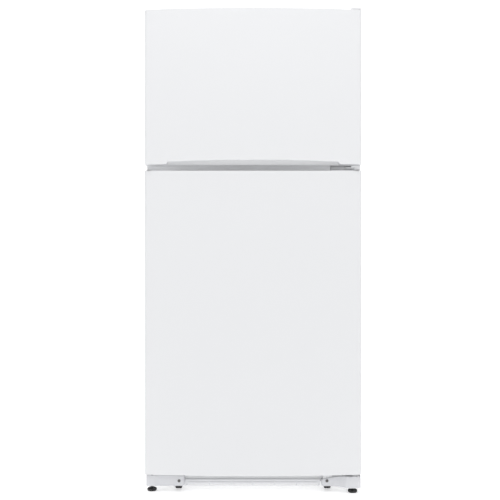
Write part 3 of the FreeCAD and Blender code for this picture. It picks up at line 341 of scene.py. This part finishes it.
def arc_points(centre, radius, start, end, count):
    """Points on a circle in a plane, from start to end degrees."""
    made = []
    for k in range(count + 1):
        a = math.radians(start + (end - start) * k / count)
        made.append((centre[0] + radius * math.cos(a), centre[1] + radius * math.sin(a)))
    return made


def round_rectangle(x0, x1, y0, y1, r, steps):
    """Points round a rectangle with corners of radius r."""
    points = []
    corners = ((x1 - r, y0 + r, -90), (x1 - r, y1 - r, 0), (x0 + r, y1 - r, 90), (x0 + r, y0 + r, 180))
    for cx, cy, a in corners:
        points += arc_points((cx, cy), r, a, a + 90, steps)
    return points


def lathe(profile, centre, axis, steps):
    """A solid of revolution: profile is (radius, height) pairs along axis from centre."""
    a = Vector(axis).normalized()
    side = a.orthogonal().normalized()
    other = a.cross(side)
    verts, rows = [], len(profile)
    for c in range(steps):
        angle = 2 * math.pi * c / steps
        out = side * math.cos(angle) + other * math.sin(angle)
        verts += [Vector(centre) + out * r + a * h for r, h in profile]
    return verts, grid_faces(steps, rows, wrap_columns=True)


def ring_sweep(profile, x0, x1, z0, z1, radius, steps):
    """A closed profile of (outward, y) pairs swept round a rounded rectangle in the XZ plane."""
    verts, columns = [], 0
    for cx, cz, a in ((x1 - radius, z0 + radius, -90), (x1 - radius, z1 - radius, 0),
                      (x0 + radius, z1 - radius, 90), (x0 + radius, z0 + radius, 180)):
        for k in range(steps + 1):
            t = math.radians(a + 90.0 * k / steps)
            for u, y in profile:
                r = radius + u
                verts.append((cx + r * math.cos(t), y, cz + r * math.sin(t)))
            columns += 1
    return verts, grid_faces(columns, len(profile), wrap_columns=True, wrap_rows=True)


def rounded_path(points, radius, steps=6):
    """A plan polyline with its inner corners rounded."""
    path = [Vector(points[0])]
    for k in range(1, len(points) - 1):
        before, here, after = (Vector(p) for p in points[k - 1:k + 2])
        reach = min(radius, 0.45 * (here - before).length, 0.45 * (after - here).length)
        start = here + (before - here).normalized() * reach
        end = here + (after - here).normalized() * reach
        for i in range(steps + 1):
            t = i / steps
            path.append(start * (1 - t) ** 2 + here * 2 * t * (1 - t) + end * t * t)
    return path + [Vector(points[-1])]


# ---------------------------------------------------------------- doors
def span(node, axis):
    """The lowest and highest coordinate of a CAD node along an axis."""
    low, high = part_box(node)
    return low[axis], high[axis]


DOOR_HALF = span("fridge_door_skin", 0)[1]
DOOR_CROWN, DOOR_BACK = span("fridge_door_skin", 1)
FRIDGE_Z = span("fridge_door_skin", 2)
FREEZER_Z = span("freezer_door_skin", 2)
DOOR_BOW = 0.020              # how far the front's middle stands before its sides
DOOR_CORNER = 0.012           # radius of the upright edges
BOW_R = (DOOR_HALF ** 2 + DOOR_BOW ** 2) / (2 * DOOR_BOW)
BOW_Y = DOOR_CROWN + BOW_R
ROLL = 0.0035                 # radius of the skin's upper and lower edges
LIP = 0.010                   # how far the skin turns in at its ends
LIP_END = 0.3585              # x of the lip's end at the back
ARCH_HALF = 0.294             # half the width of the arch in the freezer door's lower edge
ARCH_END = 0.008              # the arch's rise at its ends
ARCH_CROWN = 0.005            # and how much more at the middle
ARCH_RAMP = (0.2915, 0.3005)  # where the arch runs out
DIP_HALF = 0.34               # half the width of the dip in the fridge door's upper front lip
DIP = 0.0045                  # and how far it sinks at the middle
POCKET_HALF = 0.293           # half the width of both finger pockets
POCKET_Y = (-0.366, -0.346)   # their front and back walls
GRIP_DEPTH = 0.012            # how far the freezer door's pocket goes up
TROUGH_DEPTH = 0.030          # how far the fridge door's pocket goes down
WEB = (-0.362, 0.268)         # ends of the wall that hangs behind the freezer door's grip
WEB_DROP = 0.0172             # and how far it hangs down
SCOOP_DEPTH = 0.0165          # from the door's front to the scoop's inner edge
GRIP_DROP = 0.003             # how far the scoop's inner edge hangs under the door's lower edge
FRONT_DEPTH = 0.045           # from the door's back to where its ends' shaping starts
CAP_INSET = 0.0098            # from the skin's outline to an end cap's front edge
RECESS = 0.0006               # from the skin's end to a cap's face


def front_y(x, inset):
    """Y of the bowed front at x, inset behind its surface."""
    return BOW_Y - math.sqrt((BOW_R - inset) ** 2 - x * x)


def crown_columns():
    """X stations across the crowned front, close together at the scoop's ends."""
    edge = DOOR_HALF - DOOR_CORNER * 1.15
    xs = [edge * k / 32 for k in range(-32, 33)]
    ramp_start, ramp_step, web_gap = ARCH_RAMP[0] - 0.003, 0.0009, 0.0004
    for side in (-1, 1):
        xs += [side * (ramp_start + ramp_step * k) for k in range(16)]
    for end in WEB:
        xs += [end - web_gap, end + web_gap]
    return sorted(set(round(x, 6) for x in xs))


def plan(inset):
    """The door's plan outline from the left back lip round the front to the right one."""
    r = DOOR_CORNER
    cx = DOOR_HALF - r
    cy = BOW_Y - math.sqrt((BOW_R - r) ** 2 - cx * cx)
    tangent = math.degrees(math.atan2(cy - BOW_Y, -cx))
    back = DOOR_BACK
    half = DOOR_HALF - inset
    turn = 0.002
    left = [(-LIP_END, back), (-half + turn, back)]
    left += arc_points((-half + turn, back - turn), turn, 90, 180, 4)[1:]
    left += [(-half, back - 0.02)]
    left += arc_points((-cx, cy), r - inset, 180, 360 + tangent if tangent < 0 else tangent, 12)
    edge = left[-1][0]
    middle = [(x, front_y(x, inset)) for x in crown_columns() if abs(x) < -edge - 1e-4]
    return left + middle + [(-x, y) for x, y in reversed(left)]


def arch(x):
    """How far the freezer door's lower edge rises at x."""
    s = abs(x)
    full = ARCH_END + ARCH_CROWN * (1 - min(s, ARCH_HALF) ** 2 / ARCH_HALF ** 2)
    start, end = ARCH_RAMP
    if s <= start:
        return full
    if s >= end:
        return 0.0
    t = (end - s) / (end - start)
    return full * (t * t * (3 - 2 * t))


def straight(_):
    """A door edge that neither rises nor sinks."""
    return 0.0


def dip(x):
    """How far the fridge door's upper front lip sinks at x, to open the grip."""
    s = min(1.0, abs(x) / DIP_HALF)
    return DIP * (1 - s * s) ** 0.5


def door_skin(name, z0, z1, lift, sink, body, node):
    """Painted sheet with rolled upper and lower edges, and a lip that turns in at both ends."""
    insets, heights = [], []
    for k in range(7):
        a = math.radians(90 * k / 6)
        insets.append(ROLL * (1 - math.sin(a)))
        heights.append(ROLL * (1 - math.cos(a)))
    low = [(LIP, 0.0012), (LIP, 0.0), (ROLL + 0.002, 0.0)] + list(zip(insets, heights))
    high = [(i, -h) for i, h in reversed(low)]
    outlines = {i: plan(i) for i, _ in low}
    bands = 12
    verts = []
    for c, (x0, y0) in enumerate(outlines[low[-1][0]]):
        front = y0 < DOOR_BACK - FRONT_DEPTH
        bottom = z0 + (lift(x0) if front else 0.0)
        top = z1 - (sink(x0) if front else 0.0)
        verts += [(*outlines[i][c], bottom + h) for i, h in low]
        start = bottom + ROLL
        verts += [(x0, y0, start + (top - ROLL - start) * k / bands) for k in range(1, bands)]
        verts += [(*outlines[i][c], top + h) for i, h in high]
    columns = c + 1
    rows = 2 * len(low) + bands - 1
    piece(name, verts, grid_faces(columns, rows), body, "door", "white_enamel", (node,), 40.0)


def end_cap(name, z, direction, profile, body, key, slot, nodes):
    """The moulded cap in a door's end. profile(x) gives (y, depth) pairs from front to back."""
    edge = DOOR_HALF - LIP - 0.0005
    xs = [-edge, -edge + 0.004] + [x for x in crown_columns() if abs(x) < edge - 0.006] + [edge - 0.004, edge]
    verts = []
    for x in xs:
        verts += [(x, y, z - direction * d) for y, d in profile(x)]
    rows = len(profile(0.0))
    return piece(name, verts, grid_faces(len(xs), rows), body, key, slot, nodes, 30.0)


def corner_front(x, inset):
    """Y of the plan outline's front at x, corners included."""
    r = DOOR_CORNER - inset
    cx = DOOR_HALF - DOOR_CORNER
    if abs(x) <= cx:
        return front_y(x, inset)
    cy = BOW_Y - math.sqrt((BOW_R - DOOR_CORNER) ** 2 - cx * cx)
    return cy - math.sqrt(max(0.0, r * r - (abs(x) - cx) ** 2))


def plain_profile(x):
    """A flat cap whose edges turn down."""
    y0 = corner_front(x, CAP_INSET)
    back = DOOR_BACK
    ys = [y0, y0 + 0.002, y0 + 0.006, back - 0.006, back - 0.002, back]
    return list(zip(ys, [0.003, RECESS, RECESS, RECESS, RECESS, 0.003]))


def trough_profile(depth):
    """A cap with a finger trough behind its front lip."""
    def profile(x):
        y0 = corner_front(x, CAP_INSET)
        a, b = POCKET_Y
        e = RECESS
        if abs(x) > POCKET_HALF:
            d = [0.003, e, e, e, e, e, e, e, e, e, e, e, e, 0.003]
        else:
            d = [0.003, e, e, e + 0.0008, e + 0.003, depth - 0.008, depth - 0.0025, depth, depth,
                 depth - 0.003, depth - 0.008, e + 0.0015, e, 0.003]
        lip = dip(x)
        d = [lip + fall for fall in d[:4]] + [max(lip, fall) for fall in d[4:]]
        ys = [y0, y0 + 0.002, a - 0.004, a - 0.001, a, a, a + 0.002, a + 0.006, b - 0.006,
              b - 0.002, b, b, b + 0.002, DOOR_BACK]
        return list(zip(ys, d))
    return profile


def handle_profile(x):
    """The freezer door's lower cap: a scoop under the arch, a finger pocket and the wall behind it."""
    up = arch(x)
    arched = up > 0.0002
    rim = corner_front(x, 0.003)
    y0 = rim if arched else corner_front(x, CAP_INSET)
    b = POCKET_Y[1]
    a = min(max(rim + SCOOP_DEPTH, y0 + 0.0015), b - 0.004)
    e = RECESS
    depth = GRIP_DEPTH if abs(x) < POCKET_HALF else e
    drop = WEB_DROP if WEB[0] < x < WEB[1] else -e
    points = []
    for k in range(9):
        t = k / 8
        rise = up * (0.45 * (1 - t) + 0.55 * math.cos(math.radians(90) * t)) if arched else 0.0
        points.append((y0 + (a - y0) * t, e + rise - GRIP_DROP * t * t))
    soft = min(0.003, depth - e + 0.0001)
    points += [(a, e + soft * 0.5 - GRIP_DROP / 2), (a, depth - soft * 0.5), (a + 0.001, depth),
               (a + 0.006, depth), (b - 0.003, depth), (b - 0.001, depth - soft * 0.3), (b, depth - soft),
               (b, -drop + 0.001), (b + 0.0008, -drop), (b + 0.0024, -drop), (b + 0.0032, -drop + 0.001),
               (b + 0.0032, e), (b + 0.008, e), (DOOR_BACK, e)]
    return points


def gasket(name, node, body):
    """Soft magnetic gasket: foot, thin bellows and a flat magnet bulb."""
    low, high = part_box(node)
    y0 = low[1]
    d = high[1] - y0
    profile = [(0.0, y0), (0.0, y0 + 0.12 * d), (-0.004, y0 + 0.16 * d), (-0.0055, y0 + 0.30 * d),
               (-0.0035, y0 + 0.42 * d), (-0.0050, y0 + 0.52 * d), (-0.0032, y0 + 0.60 * d),
               (-0.0030, y0 + 0.88 * d), (-0.0045, y0 + d), (-0.0160, y0 + d), (-0.0178, y0 + 0.88 * d),
               (-0.0178, y0 + 0.62 * d), (-0.0155, y0 + 0.50 * d), (-0.0170, y0 + 0.38 * d),
               (-0.0160, y0 + 0.18 * d), (-0.0230, y0 + 0.12 * d), (-0.0230, y0)]
    parts = ring_sweep(profile, low[0], high[0], low[2], high[2], 0.026, 8)
    piece(name, *parts, body, "gasket", "gasket_rubber", (node,), 50.0)


def build_doors():
    door_skin("freezer_door_sheet", *FREEZER_Z, arch, straight, "freezer_door", "freezer_door_skin")
    door_skin("fridge_door_sheet", *FRIDGE_Z, straight, dip, "fridge_door", "fridge_door_skin")
    end_cap("freezer_top_moulding", FREEZER_Z[1], 1, plain_profile, "freezer_door", "cap",
            "white_plastic", ("freezer_door_top_cap",))
    grip = end_cap("freezer_grip_moulding", FREEZER_Z[0], -1, handle_profile, "freezer_door", "grip",
                   "cover_plastic", ("freezer_door_handle_cap",))
    # The wall behind the pocket takes the lighter plastic, painted light in the shaded gap between the doors;
    # the rest keeps the darker plastic, painted shade.
    grip.data.materials.append(M["grip_wall_painted_light"])
    for polygon in grip.data.polygons:
        behind = polygon.center.y > POCKET_Y[1] - 0.0005 and polygon.center.z < FREEZER_Z[0] + GRIP_DEPTH
        polygon.material_index = 1 if behind else 0
    end_cap("fridge_grip_moulding", FRIDGE_Z[1], 1, trough_profile(TROUGH_DEPTH), "fridge_door", "cap",
            "white_plastic", ("fridge_door_handle_cap",))
    end_cap("fridge_bottom_moulding", FRIDGE_Z[0], -1, plain_profile, "fridge_door", "cap",
            "white_plastic", ("fridge_door_bottom_cap",))
    gasket("freezer_gasket_bellows", "freezer_door_gasket", "freezer_door")
    gasket("fridge_gasket_bellows", "fridge_door_gasket", "fridge_door")


# ---------------------------------------------------------------- CAD nodes with better surfaces
# Plates whose long faces round their slots need weighted normals to look flat
FLAT_PLATES = ("evaporator_cover", "rear_access_cover", "control_housing")


def soften(node, width):
    """A CAD node keeps its shape, with broken edges."""
    obj = NODES[node]
    weld = obj.modifiers.new("weld", "WELD")
    weld.merge_threshold = 1e-6
    bevel(obj, width, 2, 38.0)
    obj.modifiers["bevel"].use_clamp_overlap = True
    obj.modifiers["bevel"].harden_normals = True
    if node in FLAT_PLATES:
        normals = obj.modifiers.new("normals", "WEIGHTED_NORMAL")
        normals.mode = "FACE_AREA_WITH_ANGLE"
        normals.keep_sharp = True


def build_kept():
    """Finishes for the CAD nodes that stay: node, material and the width of its broken edges."""
    table = (
        ("cabinet_wrapper", "cabinet", 0.0005), ("cabinet_foam", "foam", 0.0),
        ("rear_panel", "rear", 0.0005), ("fridge_liner", "liner", 0.0025),
        ("freezer_liner", "liner", 0.0025), ("mullion_rail", "cabinet", 0.0004),
        ("base_frame", "sill", 0.0004), ("bottom_hinge", "hinge", 0.0006),
        ("center_hinge", "hinge", 0.0006), ("top_hinge", "hinge", 0.0006),
        ("top_hinge_cover", "cap", 0.0006), ("hinge_screws", "screw", 0.0003),
        ("hinge_hole_plugs", "cap", 0.0003), ("roller_adjust_screws", "dark_screw", 0.0004),
        ("compressor", "can", 0.0010), ("compressor_tray", "steel", 0.0004),
        ("condenser_coil", "coil", 0.0), ("fan_motors", "black", 0.0008),
        ("drain_pan", "grey", 0.0008), ("rear_access_cover", "rear", 0.0004),
        ("evaporator_coil", "fins", 0.0), ("evaporator_cover", "liner", 0.0006),
        ("freezer_shelf", "wire", 0.0), ("shelf_frames", "cap", 0.0012),
        ("shelf_glass", "glass", 0.0006), ("crisper_cover_frame", "cap", 0.0012),
        ("control_housing", "liner", 0.0010), ("light_lens", "lens", 0.0008),
        ("power_inlet", "black", 0.0006), ("freezer_door_liner", "liner", 0.0035),
        ("freezer_door_foam", "foam", 0.0), ("freezer_door_bins", "bin", 0.0008),
        ("fridge_door_liner", "liner", 0.0035), ("fridge_door_foam", "foam", 0.0),
        ("fridge_door_bins", "bin", 0.0008), ("dairy_lid", "bin", 0.0006),
        ("crisper_left", "crisper", 0.0010), ("crisper_right", "crisper", 0.0010),
        ("humidity_slider", "slider", 0.0006), ("temperature_knob", "grey", 0.0008),
        ("light_switch_plunger", "cap", 0.0006), ("condenser_fan_blade", "black", 0.0004),
        ("evaporator_fan_blade", "black", 0.0004),
    )
    for node, key, width in table:
        paint(NODES[node], key)
        for polygon in NODES[node].data.polygons:
            polygon.use_smooth = node != "cabinet_foam"
        if width:
            soften(node, width)


# ---------------------------------------------------------------- base
SLOTS = 6                     # long slots in each of the toe grille's two rows
SKIRT_WALL = 0.0025           # thickness of the base covers
SKIRT_CORNER = 0.006          # radius of their upright edges


def between(stations):
    """A function of x that runs straight between (x, z) stations."""
    def height(x):
        for (xa, za), (xb, zb) in zip(stations, stations[1:]):
            if x <= xb:
                return za + (zb - za) * min(1.0, max(0.0, (x - xa) / (xb - xa)))
        return stations[-1][1]
    return height


def split(points, longest=0.012):
    """The polyline with its long runs divided, so that heights can follow x."""
    made = [points[0]]
    for a, b in zip(points, points[1:]):
        n = max(1, math.ceil(math.dist(a, b) / longest))
        made += [(a[0] + (b[0] - a[0]) * k / n, a[1] + (b[1] - a[1]) * k / n) for k in range(1, n + 1)]
    return made


def base_skirt(name, points, low, high, node):
    """A base cover's thin upright wall along a plan path, from z low up to high(x)."""
    path = rounded_path(points, SKIRT_CORNER)
    runs = [(b - a).normalized() for a, b in zip(path, path[1:])]
    verts = []
    for k, here in enumerate(path):
        before, after = runs[max(0, k - 1)], runs[min(k, len(runs) - 1)]
        outward = Vector((before.y + after.y, -before.x - after.x)).normalized()
        inward = -outward / max(0.5, outward.dot(Vector((after.y, -after.x))))
        r = SKIRT_WALL / 2
        z1 = high(here.x)
        section = [(r, low), (0.3 * r, low + 0.3 * r), (0, low + r), (0, z1 - r), (0.3 * r, z1 - 0.3 * r),
                   (r, z1), (1.7 * r, z1 - 0.3 * r), (2 * r, z1 - r), (2 * r, low + r),
                   (1.7 * r, low + 0.3 * r)]
        verts += [(*(here + inward * u), z) for u, z in section]
    rows = len(section)
    faces = grid_faces(len(path), rows, wrap_rows=True)
    last = (len(path) - 1) * rows
    faces += [tuple(range(rows)), tuple(last + k for k in reversed(range(rows)))]
    # The covers take the darkened plastic, a painted shade for the door's shadow.
    piece(name, verts, faces, "cabinet", "cover", "cover_plastic", (node,), 40.0)


def base_covers():
    """The left cover has one small step. The right one swells forward round the lower hinge."""
    low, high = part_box("base_cover_left")
    back, top = high[1], high[2]
    x0, x1, y0 = low[0], high[0], low[1]
    step = y0 + 0.004
    points = [(x0, back), (x0, step), (x0 + 0.004, y0), (x0 + 0.033, y0), (x0 + 0.041, step),
              (x1 - 0.005, step), (x1, step + 0.005), (x1, back)]
    rise = between([(x0, top - 0.0043), (x1 - 0.012, top - 0.0080), (x1, top - 0.0095)])
    base_skirt("left_base_skirt", split(points), low[2], rise, "base_cover_left")

    low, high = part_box("base_cover_right")
    top = high[2]
    x0, x1, y0 = low[0], high[0], low[1]
    step = y0 + 0.032
    points = [(x0, back), (x0, step + 0.005), (x0 + 0.005, step), (x0 + 0.044, step),
              (x0 + 0.060, step - 0.008), (x0 + 0.082, y0 + 0.002), (x0 + 0.092, y0),
              (x1 - 0.007, y0), (x1, y0 + 0.007), (x1, back)]
    rise = between([(x0, top - 0.0215), (x0 + 0.016, top - 0.0175), (x0 + 0.044, top - 0.0125),
                    (x0 + 0.080, top - 0.0045), (x1, top - 0.0035)])
    base_skirt("right_base_skirt", split(points), low[2], rise, "base_cover_right")


def slot_tool(x0, x1, y0, y1, z0, z1):
    """A round-ended slot's volume, through along Y."""
    outline = [(x, y0, z) for x, z in round_rectangle(x0, x1, z0, z1, 0.48 * (z1 - z0), 3)]
    return prism("slot", outline, (0, y1 - y0, 0))


def grille():
    """Toe grille: a bar with a rolled top and two rows of long slots."""
    low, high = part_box("toe_grille")
    x0, x1, face, back = low[0], high[0], low[1], high[1]
    bottom, top = low[2] - 0.001, high[2] - 0.001
    curl = 0.0016
    wall = 0.0024
    section = [(face, bottom + 0.0006), (face + 0.0006, bottom), (face + wall, bottom),
               (face + wall, top - curl - wall), (face + curl + wall, top - wall), (back, top - wall),
               (back, top)]
    section += arc_points((face + curl, top - curl), curl, 90, 180, 6)
    bar = prism("toe_grille_bar", [(x0, y, z) for y, z in section], (x1 - x0, 0, 0))
    pitch = (x1 - x0 - 0.016) / SLOTS
    tools = []
    for z, half in ((bottom + 0.0042, 0.0016), (bottom + 0.0147, 0.0008)):
        for k in range(SLOTS):
            start = x0 + 0.0105 + k * pitch
            tools.append(slot_tool(start, start + pitch - 0.003, face - 0.002, face + 0.004,
                                   z - half, z + half))
    cut(bar, tools)
    dress(bar, "cabinet", "grille", ("toe_grille",), 30.0)


def feet():
    """Levelling feet: a lobed hand wheel with a pad below and a threaded stem above."""
    for side in ("left", "right"):
        node = "levelling_foot_" + side
        low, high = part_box(node)
        cx, cy = (low[0] + high[0]) / 2, (low[1] + high[1]) / 2
        r = (high[0] - low[0]) / 2
        stem = 0.005
        profile = [(0.0, 0.0), (r * 0.80, 0.0), (r * 0.86, 0.0006), (r * 0.87, 0.0022), (r * 0.97, 0.0030),
                   (r, 0.0042), (r, 0.0078), (r * 0.97, 0.0090), (r * 0.86, 0.0105), (r * 0.62, 0.0122),
                   (r * 0.52, 0.0130), (stem, 0.0134)]
        z = 0.0145
        while z < high[2] - 0.002:
            profile += [(stem, z), (stem - 0.0007, z + 0.0006)]
            z += 0.0015
        profile += [(stem - 0.001, high[2]), (0.0, high[2])]
        steps, lobes, verts = 72, 12, []
        for c in range(steps):
            a = 2 * math.pi * c / steps
            for u, h in profile:
                lobe = 1.0 - 0.045 * (0.5 - 0.5 * math.cos(lobes * a)) if 0.0029 < h < 0.0095 else 1.0
                verts.append((cx + u * lobe * math.cos(a), cy + u * lobe * math.sin(a), h + low[2]))
        faces = grid_faces(steps, len(profile), wrap_columns=True)
        piece("foot_" + side, verts, faces, node + "_body", "black", "black_plastic", (node,), ROUND_CRISP)


def rollers():
    """Hard wheels with a grooved tread and a hub, free on their axles."""
    for name in ("front_roller_left", "front_roller_right", "rear_roller_left", "rear_roller_right"):
        low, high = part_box(name)
        half = (high[0] - low[0]) / 2
        centre = [(a + b) / 2 for a, b in zip(low, high)]
        r = (high[2] - low[2]) / 2
        hub = 0.0075
        bore = 0.00408
        side = [(bore, half - 0.0005), (0.0046, half), (hub - 0.0006, half), (hub, half - 0.0006),
                (hub, half - 0.003), (r - 0.0068, half - 0.0035), (r - 0.0058, half - 0.0008),
                (r - 0.0045, half), (r - 0.0020, half - 0.0008), (r - 0.0004, half - 0.0035)]
        tread = [(r, half - 0.0045), (r, half * 0.36), (r - 0.0009, half * 0.30), (r - 0.0009, half * 0.20),
                 (r, half * 0.14)]
        right = side + tread
        profile = right + [(u, -h) for u, h in reversed(right)]
        steps, rows = 56, len(profile)
        verts, faces = lathe(profile, centre, (1, 0, 0), steps)
        for c in range(steps):
            a, b = c * rows, (c + 1) % steps * rows
            faces.append((b, a, a + rows - 1, b + rows - 1))
        piece(name + "_wheel", verts, faces, name + "_body", "black", "black_plastic", (name,), ROUND_CRISP)


def hinge_trim():
    """White sleeve on the middle hinge's end and a grey spacer beside it, between the doors; the spacer's
    grey is painted shade, standing in for the shade there.
    """
    clear = 0.0016
    z0, z1 = FRIDGE_Z[1] + clear, FREEZER_Z[0] - clear
    zm = (z0 + z1) / 2
    outline = [(0.350, z0), (0.371, z0), (0.371, z1), (0.339, z1), (0.339, zm), (0.350, zm)]
    sleeve = prism("hinge_sleeve", [(x, -0.357, z) for x, z in outline], (0, 0.040, 0))
    apply_modifiers(bevel(sleeve, 0.0012, 3))
    dress(sleeve, "cabinet", "cap")

    # The spacer's grey is painted shade between the doors.
    left, right, low = WEB[1] + 0.001, 0.346, z0 + 0.0004
    outline = [(left, low), (right, low), (right, z1), (left, z1)]
    spacer = prism("hinge_spacer", [(x, -0.3415, z) for x, z in outline], (0, 0.024, 0))
    apply_modifiers(bevel(spacer, 0.0006, 2))
    dress(spacer, "cabinet", "spacer")


def build_base():
    base_covers()
    grille()
    feet()
    rollers()
    hinge_trim()


# ---------------------------------------------------------------- studio
def build_studio():
    """A pale floor that sweeps up behind, an even white world and soft lamps."""
    reach, sweep = 16.0, 1.5
    profile = [(-reach, 0.0), (0.0, 0.0)] + arc_points((4.0, sweep), sweep, -90, 0, 12) + [(4.0 + sweep, 9.0)]
    verts = [(x, y, z) for x in (-reach, reach) for y, z in profile]
    mesh = bpy.data.meshes.new("studio_floor")
    mesh.from_pydata(verts, [], grid_faces(2, len(profile)))
    floor = bpy.data.objects.new("studio_floor", mesh)
    bpy.context.scene.collection.objects.link(floor)
    shaded(floor, 60)
    g = Graph("studio_paper", (0.93, 0.93, 0.93), 0.85)
    g.tint(g.noise(1.5, 2.0), 0.003)
    g.set("Specular IOR Level", 0.1)
    g.set("Emission Color", (1.0, 1.0, 1.0, 1.0))
    g.set("Emission Strength", 0.46)
    floor.data.materials.append(g.mat)

    world = bpy.data.worlds.new("studio")
    bpy.context.scene.world = world
    world.use_nodes = True
    backdrop = world.node_tree.nodes["Background"]
    backdrop.inputs["Color"].default_value = (1.0, 1.0, 1.0, 1.0)
    backdrop.inputs["Strength"].default_value = 0.58

    def lamp(name, place, target, width, height, power):
        """A rectangular lamp at place that faces target, its power in watts."""
        data = bpy.data.lights.new(name, "AREA")
        data.shape = "RECTANGLE"
        data.size = width
        data.size_y = height
        data.energy = power
        obj = bpy.data.objects.new(name, data)
        bpy.context.scene.collection.objects.link(obj)
        obj.location = place
        way = Vector(target) - Vector(place)
        obj.rotation_euler = way.to_track_quat("-Z", "Y").to_euler()

    lamp("top_softbox", (0.0, -1.6, 3.4), (0.0, 0.0, 0.4), 3.0, 2.0, 25.0)
    lamp("front_wall", (0.0, -5.0, 2.4), (0.0, 0.0, 1.1), 6.0, 2.2, 5.0)
    lamp("left_softbox", (-2.3, -3.5, 1.7), (0.0, -0.3, 1.2), 1.3, 1.6, 4.0)
    lamp("right_softbox", (2.3, -3.5, 1.7), (0.0, -0.3, 1.2), 1.3, 1.6, 3.6)
    lamp("left_fill", (-2.1, -0.8, 0.95), (0.0, -0.2, 0.9), 1.0, 1.9, 0.6)
    lamp("right_fill", (2.1, -0.8, 0.95), (0.0, -0.2, 0.9), 1.0, 1.9, 0.6)
    lamp("backdrop_light", (0.0, 1.6, 3.8), (0.0, 4.8, 0.8), 5.0, 1.2, 52.0)


def build_camera():
    """A long lens at the height of the fridge door's middle, level, with a small rise."""
    scene = bpy.context.scene
    data = bpy.data.cameras.new("camera")
    data.sensor_width = 36.0
    data.lens = 56.04
    data.shift_x = -0.006
    data.shift_y = 0.092
    obj = bpy.data.objects.new("camera", data)
    scene.collection.objects.link(obj)
    obj.location = (0.0, -3.045, 0.682)
    obj.rotation_euler = (math.radians(90), 0.0, 0.0)
    scene.camera = obj
    scene.view_settings.view_transform = "Standard"
    scene.view_settings.look = "None"


build_doors()
build_kept()
build_base()
build_studio()
build_camera()
